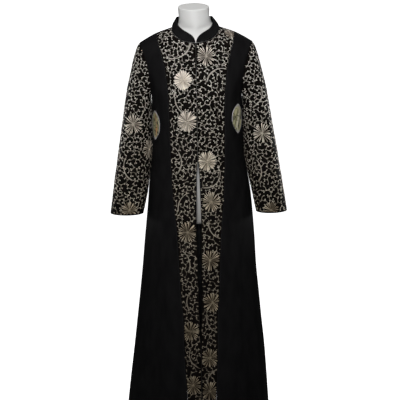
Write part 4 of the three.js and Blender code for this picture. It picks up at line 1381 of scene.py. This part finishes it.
def makePatch(row):
    side = row["side"]
    clothMap = frontMap(side)

    def spot(share, across):
        turn = np.radians(row["turn"] + across * row["half"] * patchWidth(share))
        z = row["z"] - share * row["length"] / 2 + 0 * across
        return clothMap.point(turn, z), clothMap.normal(turn, z)

    share = np.sin(np.linspace(-patch["rowReach"], patch["rowReach"], patch["rows"] + 1))[:, None]
    across = np.linspace(-1, 1, patch["columns"] + 1)[None, :]
    surface, normals = spot(share, across)
    quilt = patch["quilt"] * (1 - across**2) * (1 - share**2)
    grid = surface + normals * (patch["wall"] + cut["layGap"] + quilt[..., None])
    inner = surface + normals * cut["layGap"]
    piece = wallMesh("cloth_patch_" + row["name"], grid, inner, finishes["brocade_" + row["name"]])
    for name, values in (("across", across + 0 * share), ("along", share + 0 * across)):
        layer = piece.data.attributes.new(name, "FLOAT", "POINT")
        layer.data.foreach_set("value", np.tile(values.ravel(), 2).astype(np.float32))
    settle(piece, "brocade", "underarm_patch_" + row["name"])
    "cloth_front_side_" + row["name"]
    down = patch["rimReach"] * np.linspace(-1, 1, patch["rimSteps"])
    share = np.concatenate([down, down[::-1]])
    across = np.concatenate([np.ones(len(down)), -np.ones(len(down))])
    places, normals = spot(share, across)
    places = places + normals * cut["layGap"]
    places = np.concatenate([places, places[:1]])[None]
    normals = np.concatenate([normals, normals[:1]])[None]
    width = np.full(places.shape[:2], patch["rimHalf"])
    rim = ribbonMesh(
        "patch_rim_" + row["name"], places, normals, width, patch["rimHeight"], finishes["cord"]
    )
    settle(rim, "brocade")


# Stitches along a line on the cloth
stitches = {"pitch": 4.2, "length": 2.7, "half": 0.28, "height": 0.3, "ends": 0.3, "inset": 2.2}


# How far each point of a line is along it, and the values at given distances
def lineRun(points):
    return np.concatenate([[0], np.cumsum(np.linalg.norm(np.diff(points, axis=0), axis=1))])


def valuesAt(spots, run, values):
    return np.stack([np.interp(spots, run, values[:, i]) for i in range(3)], -1)


def stitchLine(places, normals):
    run = lineRun(places)
    starts = np.arange(stitches["pitch"] / 2, run[-1] - stitches["pitch"], stitches["pitch"])
    spots = starts[:, None] + np.linspace(0, stitches["length"], 3)[None, :]
    return valuesAt(spots, run, places), unit(valuesAt(spots, run, normals))


# The line that runs beside a panel's edge, a few millimetres in from it
def insetLine(grid, normals, edge, distance):
    def fromEdge(values):
        if edge in ("top", "bottom"):
            values = np.swapaxes(values, 0, 1)
        return values[:, ::-1] if edge in ("last", "bottom") else values

    line, out = [], []
    for points, outs in zip(fromEdge(grid), fromEdge(normals)):
        run = lineRun(points)
        line.append(valuesAt(distance, run, points))
        out.append(valuesAt(distance, run, outs))
    return np.array(line), np.array(out)


def makeStitches(name, lines, slot):
    parts = [stitchLine(*line) for line in lines]
    places = np.concatenate([part[0] for part in parts])
    normals = np.concatenate([part[1] for part in parts])
    width = np.full(places.shape[:2], stitches["half"])
    shape = np.array([stitches["ends"], 1.0, stitches["ends"]])
    height = np.full(places.shape[:2], stitches["height"]) * shape
    settle(ribbonMesh(name, places, normals, width, height, finishes["stitch"]), slot)


# The dress form and its stand
formSections = table("z half front back shape", [
    (768, 142, 88, 92, 2), (776, 148, 93, 97, 2), (820, 152, 96, 102, 2), (880, 150, 94, 98, 2),
    (950, 133, 88, 80, 2), (1020, 118, 84, 70, 2), (1090, 119, 92, 76, 2), (1150, 130, 110, 86, 2),
    (1200, 139, 112, 94, 2), (1250, 146, 104, 101, 2), (1300, 154, 90, 101, 2),
    (1335, 159, 78, 95, 2), (1362, 161, 68, 86, 1.9), (1382, 159, 60, 77, 1.7),
    (1396, 155, 54, 70, 1.5), (1405, 150.6, 52, 65, 1.4), (1413, 135.2, 51, 59, 1.3),
    (1420, 117.8, 50.5, 55, 1.25), (1428, 93, 50.3, 52, 1.25), (1436, 71, 50.2, 50, 1.35),
    (1450, 56, 50.1, 50, 1.8), (1475, 53, 50, 50, 2), (1503, 53, 50, 50, 2),
])
form = {
    "bottomZ": 768, "topZ": 1503, "neckFromZ": 1428, "slant": 0.17, "stations": 96, "edge": 3.0,
    "poleRadius": 16, "baseRadius": 165, "baseThickness": 7, "baseBevel": 2, "inset": 0.35,
    "levelStep": 7.0,       # and a finer one from the shoulders up
    "fineStep": 2.5,
    "fineFromZ": 1355,
    "capRings": (0.8, 0.5, 0.2),
    "sharpFrom": 35,        # edges with a larger angle are drawn sharp
    "poleStations": 64, "baseStations": 128,
}


# A solid from a stack of rings, closed by a fan at each end
def ringSolid(name, rings, finish):
    count, stations = rings.shape[:2]
    index = np.arange(count * stations).reshape(count, stations)
    index = np.concatenate([index, index[:, :1]], axis=1)
    quads = np.stack([index[:-1, :-1], index[:-1, 1:], index[1:, 1:], index[1:, :-1]], -1)
    faces = quads.reshape(-1, 4).tolist()
    points = np.concatenate([rings.reshape(-1, 3), [rings[0].mean(0), rings[-1].mean(0)]])
    low, high = count * stations, count * stations + 1
    for i in range(stations):
        faces.append((low, int(index[0, i + 1]), int(index[0, i])))
        faces.append((high, int(index[-1, i]), int(index[-1, i + 1])))
    return addMesh(name, points, faces, finish, form["sharpFrom"])


def makeForm():
    shapes = {key: curve(formSections, "z", key) for key in ("half", "front", "back", "shape")}
    edge = form["edge"]
    rounding = np.linspace(0, np.pi / 2, 6)
    levels = np.concatenate([
        form["bottomZ"] + edge * (1 - np.cos(rounding))[:-1],
        np.arange(form["bottomZ"] + edge, form["fineFromZ"], form["levelStep"]),
        np.arange(form["fineFromZ"], form["topZ"] - edge, form["fineStep"]),
        form["topZ"] - edge * (1 - np.sin(rounding)),
    ])
    drawn = np.zeros(len(levels))
    drawn[:5] = edge * (1 - np.sin(rounding))[:-1]
    drawn[-6:] = edge * (1 - np.cos(rounding))
    angles = 2 * np.pi * np.arange(form["stations"]) / form["stations"]
    rings = []
    for z, less in zip(levels, drawn):
        half, front, back, shape = (float(shapes[key](z)) for key in shapes)
        swell = 2 / shape
        sine, cosine = np.sin(angles), np.cos(angles)
        less += form["inset"]
        x = (half - less) * np.sign(sine) * np.abs(sine) ** swell
        depth = np.where(cosine > 0, front, back) - less
        y = -depth * np.sign(cosine) * np.abs(cosine) ** swell
        neck = max(0.0, (z - form["neckFromZ"]) / (form["topZ"] - form["neckFromZ"]))
        lean = -cut["neckSway"] * max(0.0, z - cut["shoulderPointZ"])
        rings.append(stack(x + lean, y, z + neck * form["slant"] * y))
    bottom, top = rings[0], rings[-1]
    for share in form["capRings"]:
        rings.append(top.mean(0) + (top - top.mean(0)) * share)
        rings.insert(0, bottom.mean(0) + (bottom - bottom.mean(0)) * share)
    piece = ringSolid("form_torso_shell", np.array(rings), finishes["form"])
    settle(piece, "form_shell", "form_torso")


def turnedPiece(name, profile, stations, finish):
    angles = 2 * np.pi * np.arange(stations) / stations
    rings = [stack(radius * np.cos(angles), radius * np.sin(angles), z) for radius, z in profile]
    return ringSolid(name, np.array(rings), finish)


def makeStand():
    radius, gap = form["poleRadius"], cut["seamGap"]
    low, high = form["baseThickness"] + gap, form["bottomZ"] - gap
    profile = [(radius - 1, low), (radius, low + 1), (radius, high - 1), (radius - 1, high)]
    tube = turnedPiece("stand_tube", profile, form["poleStations"], finishes["stand"])
    settle(tube, "stand_metal", "stand_pole")
    wide, bevel, thick = form["baseRadius"], form["baseBevel"], form["baseThickness"]
    profile = [(wide - 0.5, 0), (wide, 0.5), (wide, thick - bevel)]
    for t in (0.5, 1.0, 1.57):
        profile.append((wide - bevel + bevel * math.cos(t), thick - bevel + bevel * math.sin(t)))
    profile += [(wide * 0.6, thick), (radius * 1.2, thick)]
    plate = turnedPiece("stand_plate", profile, form["baseStations"], finishes["stand"])
    settle(plate, "stand_metal", "stand_base")


print("studio")
makeCamera()
makeLights()
makeFloor()
finishes = {
    "crepe": blackCloth("black_crepe", "crepe", 1.0),
    "collar": blackCloth("collar_cloth", "crepe", 0.3),
    "ground": blackCloth("scroll_ground", "ground", 0.5),
    "scroll": embroideryThread("scroll_thread", thread["scroll"], thread["scrollDim"], scrollTintAndPaintedShade),
    "flower": embroideryThread("flower_thread", thread["cream"], thread["creamDim"], flowerTintAndPaintedShade),
    "stitch": blackThread(),
    "brocade_left": brocadeCloth("left"),
    "brocade_right": brocadeCloth("right"),
    "cord": paleCord(),
    "form": formShell(),
    "stand": standPaint(),
}
print("form and stand")
makeForm()
makeStand()
print("body")
seamLines, hemLines = [], []
for side, name in ((-1, "left"), (1, "right")):
    grid, normals = makeCentreFront(side, name)
    hemLines.append(insetLine(grid, normals, "bottom", cut["hemDepth"]))
    grid, normals = makeSideFront(side, name)
    seamLines.append(insetLine(grid, normals, "first", stitches["inset"]))
    hemLines.append(insetLine(grid, normals, "bottom", cut["hemDepth"]))
grid, normals = makeBack()
hemLines.append(insetLine(grid, normals, "bottom", cut["hemDepth"]))
print("sleeves")
cuffLines = []
for side, name in ((-1, "left"), (1, "right")):
    grid, normals = makeSleeve(side, name)
    grid = np.concatenate([grid, grid[:, :1]], axis=1)
    normals = np.concatenate([normals, normals[:, :1]], axis=1)
    cuffLines.append(insetLine(grid, normals, "bottom", cut["hemDepth"] * sleeve["cuffLine"]))
print("collar and small pieces")
grid, normals = makeCollar()
collarLines = [insetLine(grid, normals, edge, collar["stitchInset"]) for edge in ("top", "bottom")]
for row in underarmPatches:
    makePatch(row)
makeStitches("seam_stitches", seamLines + collarLines, "black_crepe")
makeStitches("hem_stitches", hemLines + cuffLines, "black_crepe")
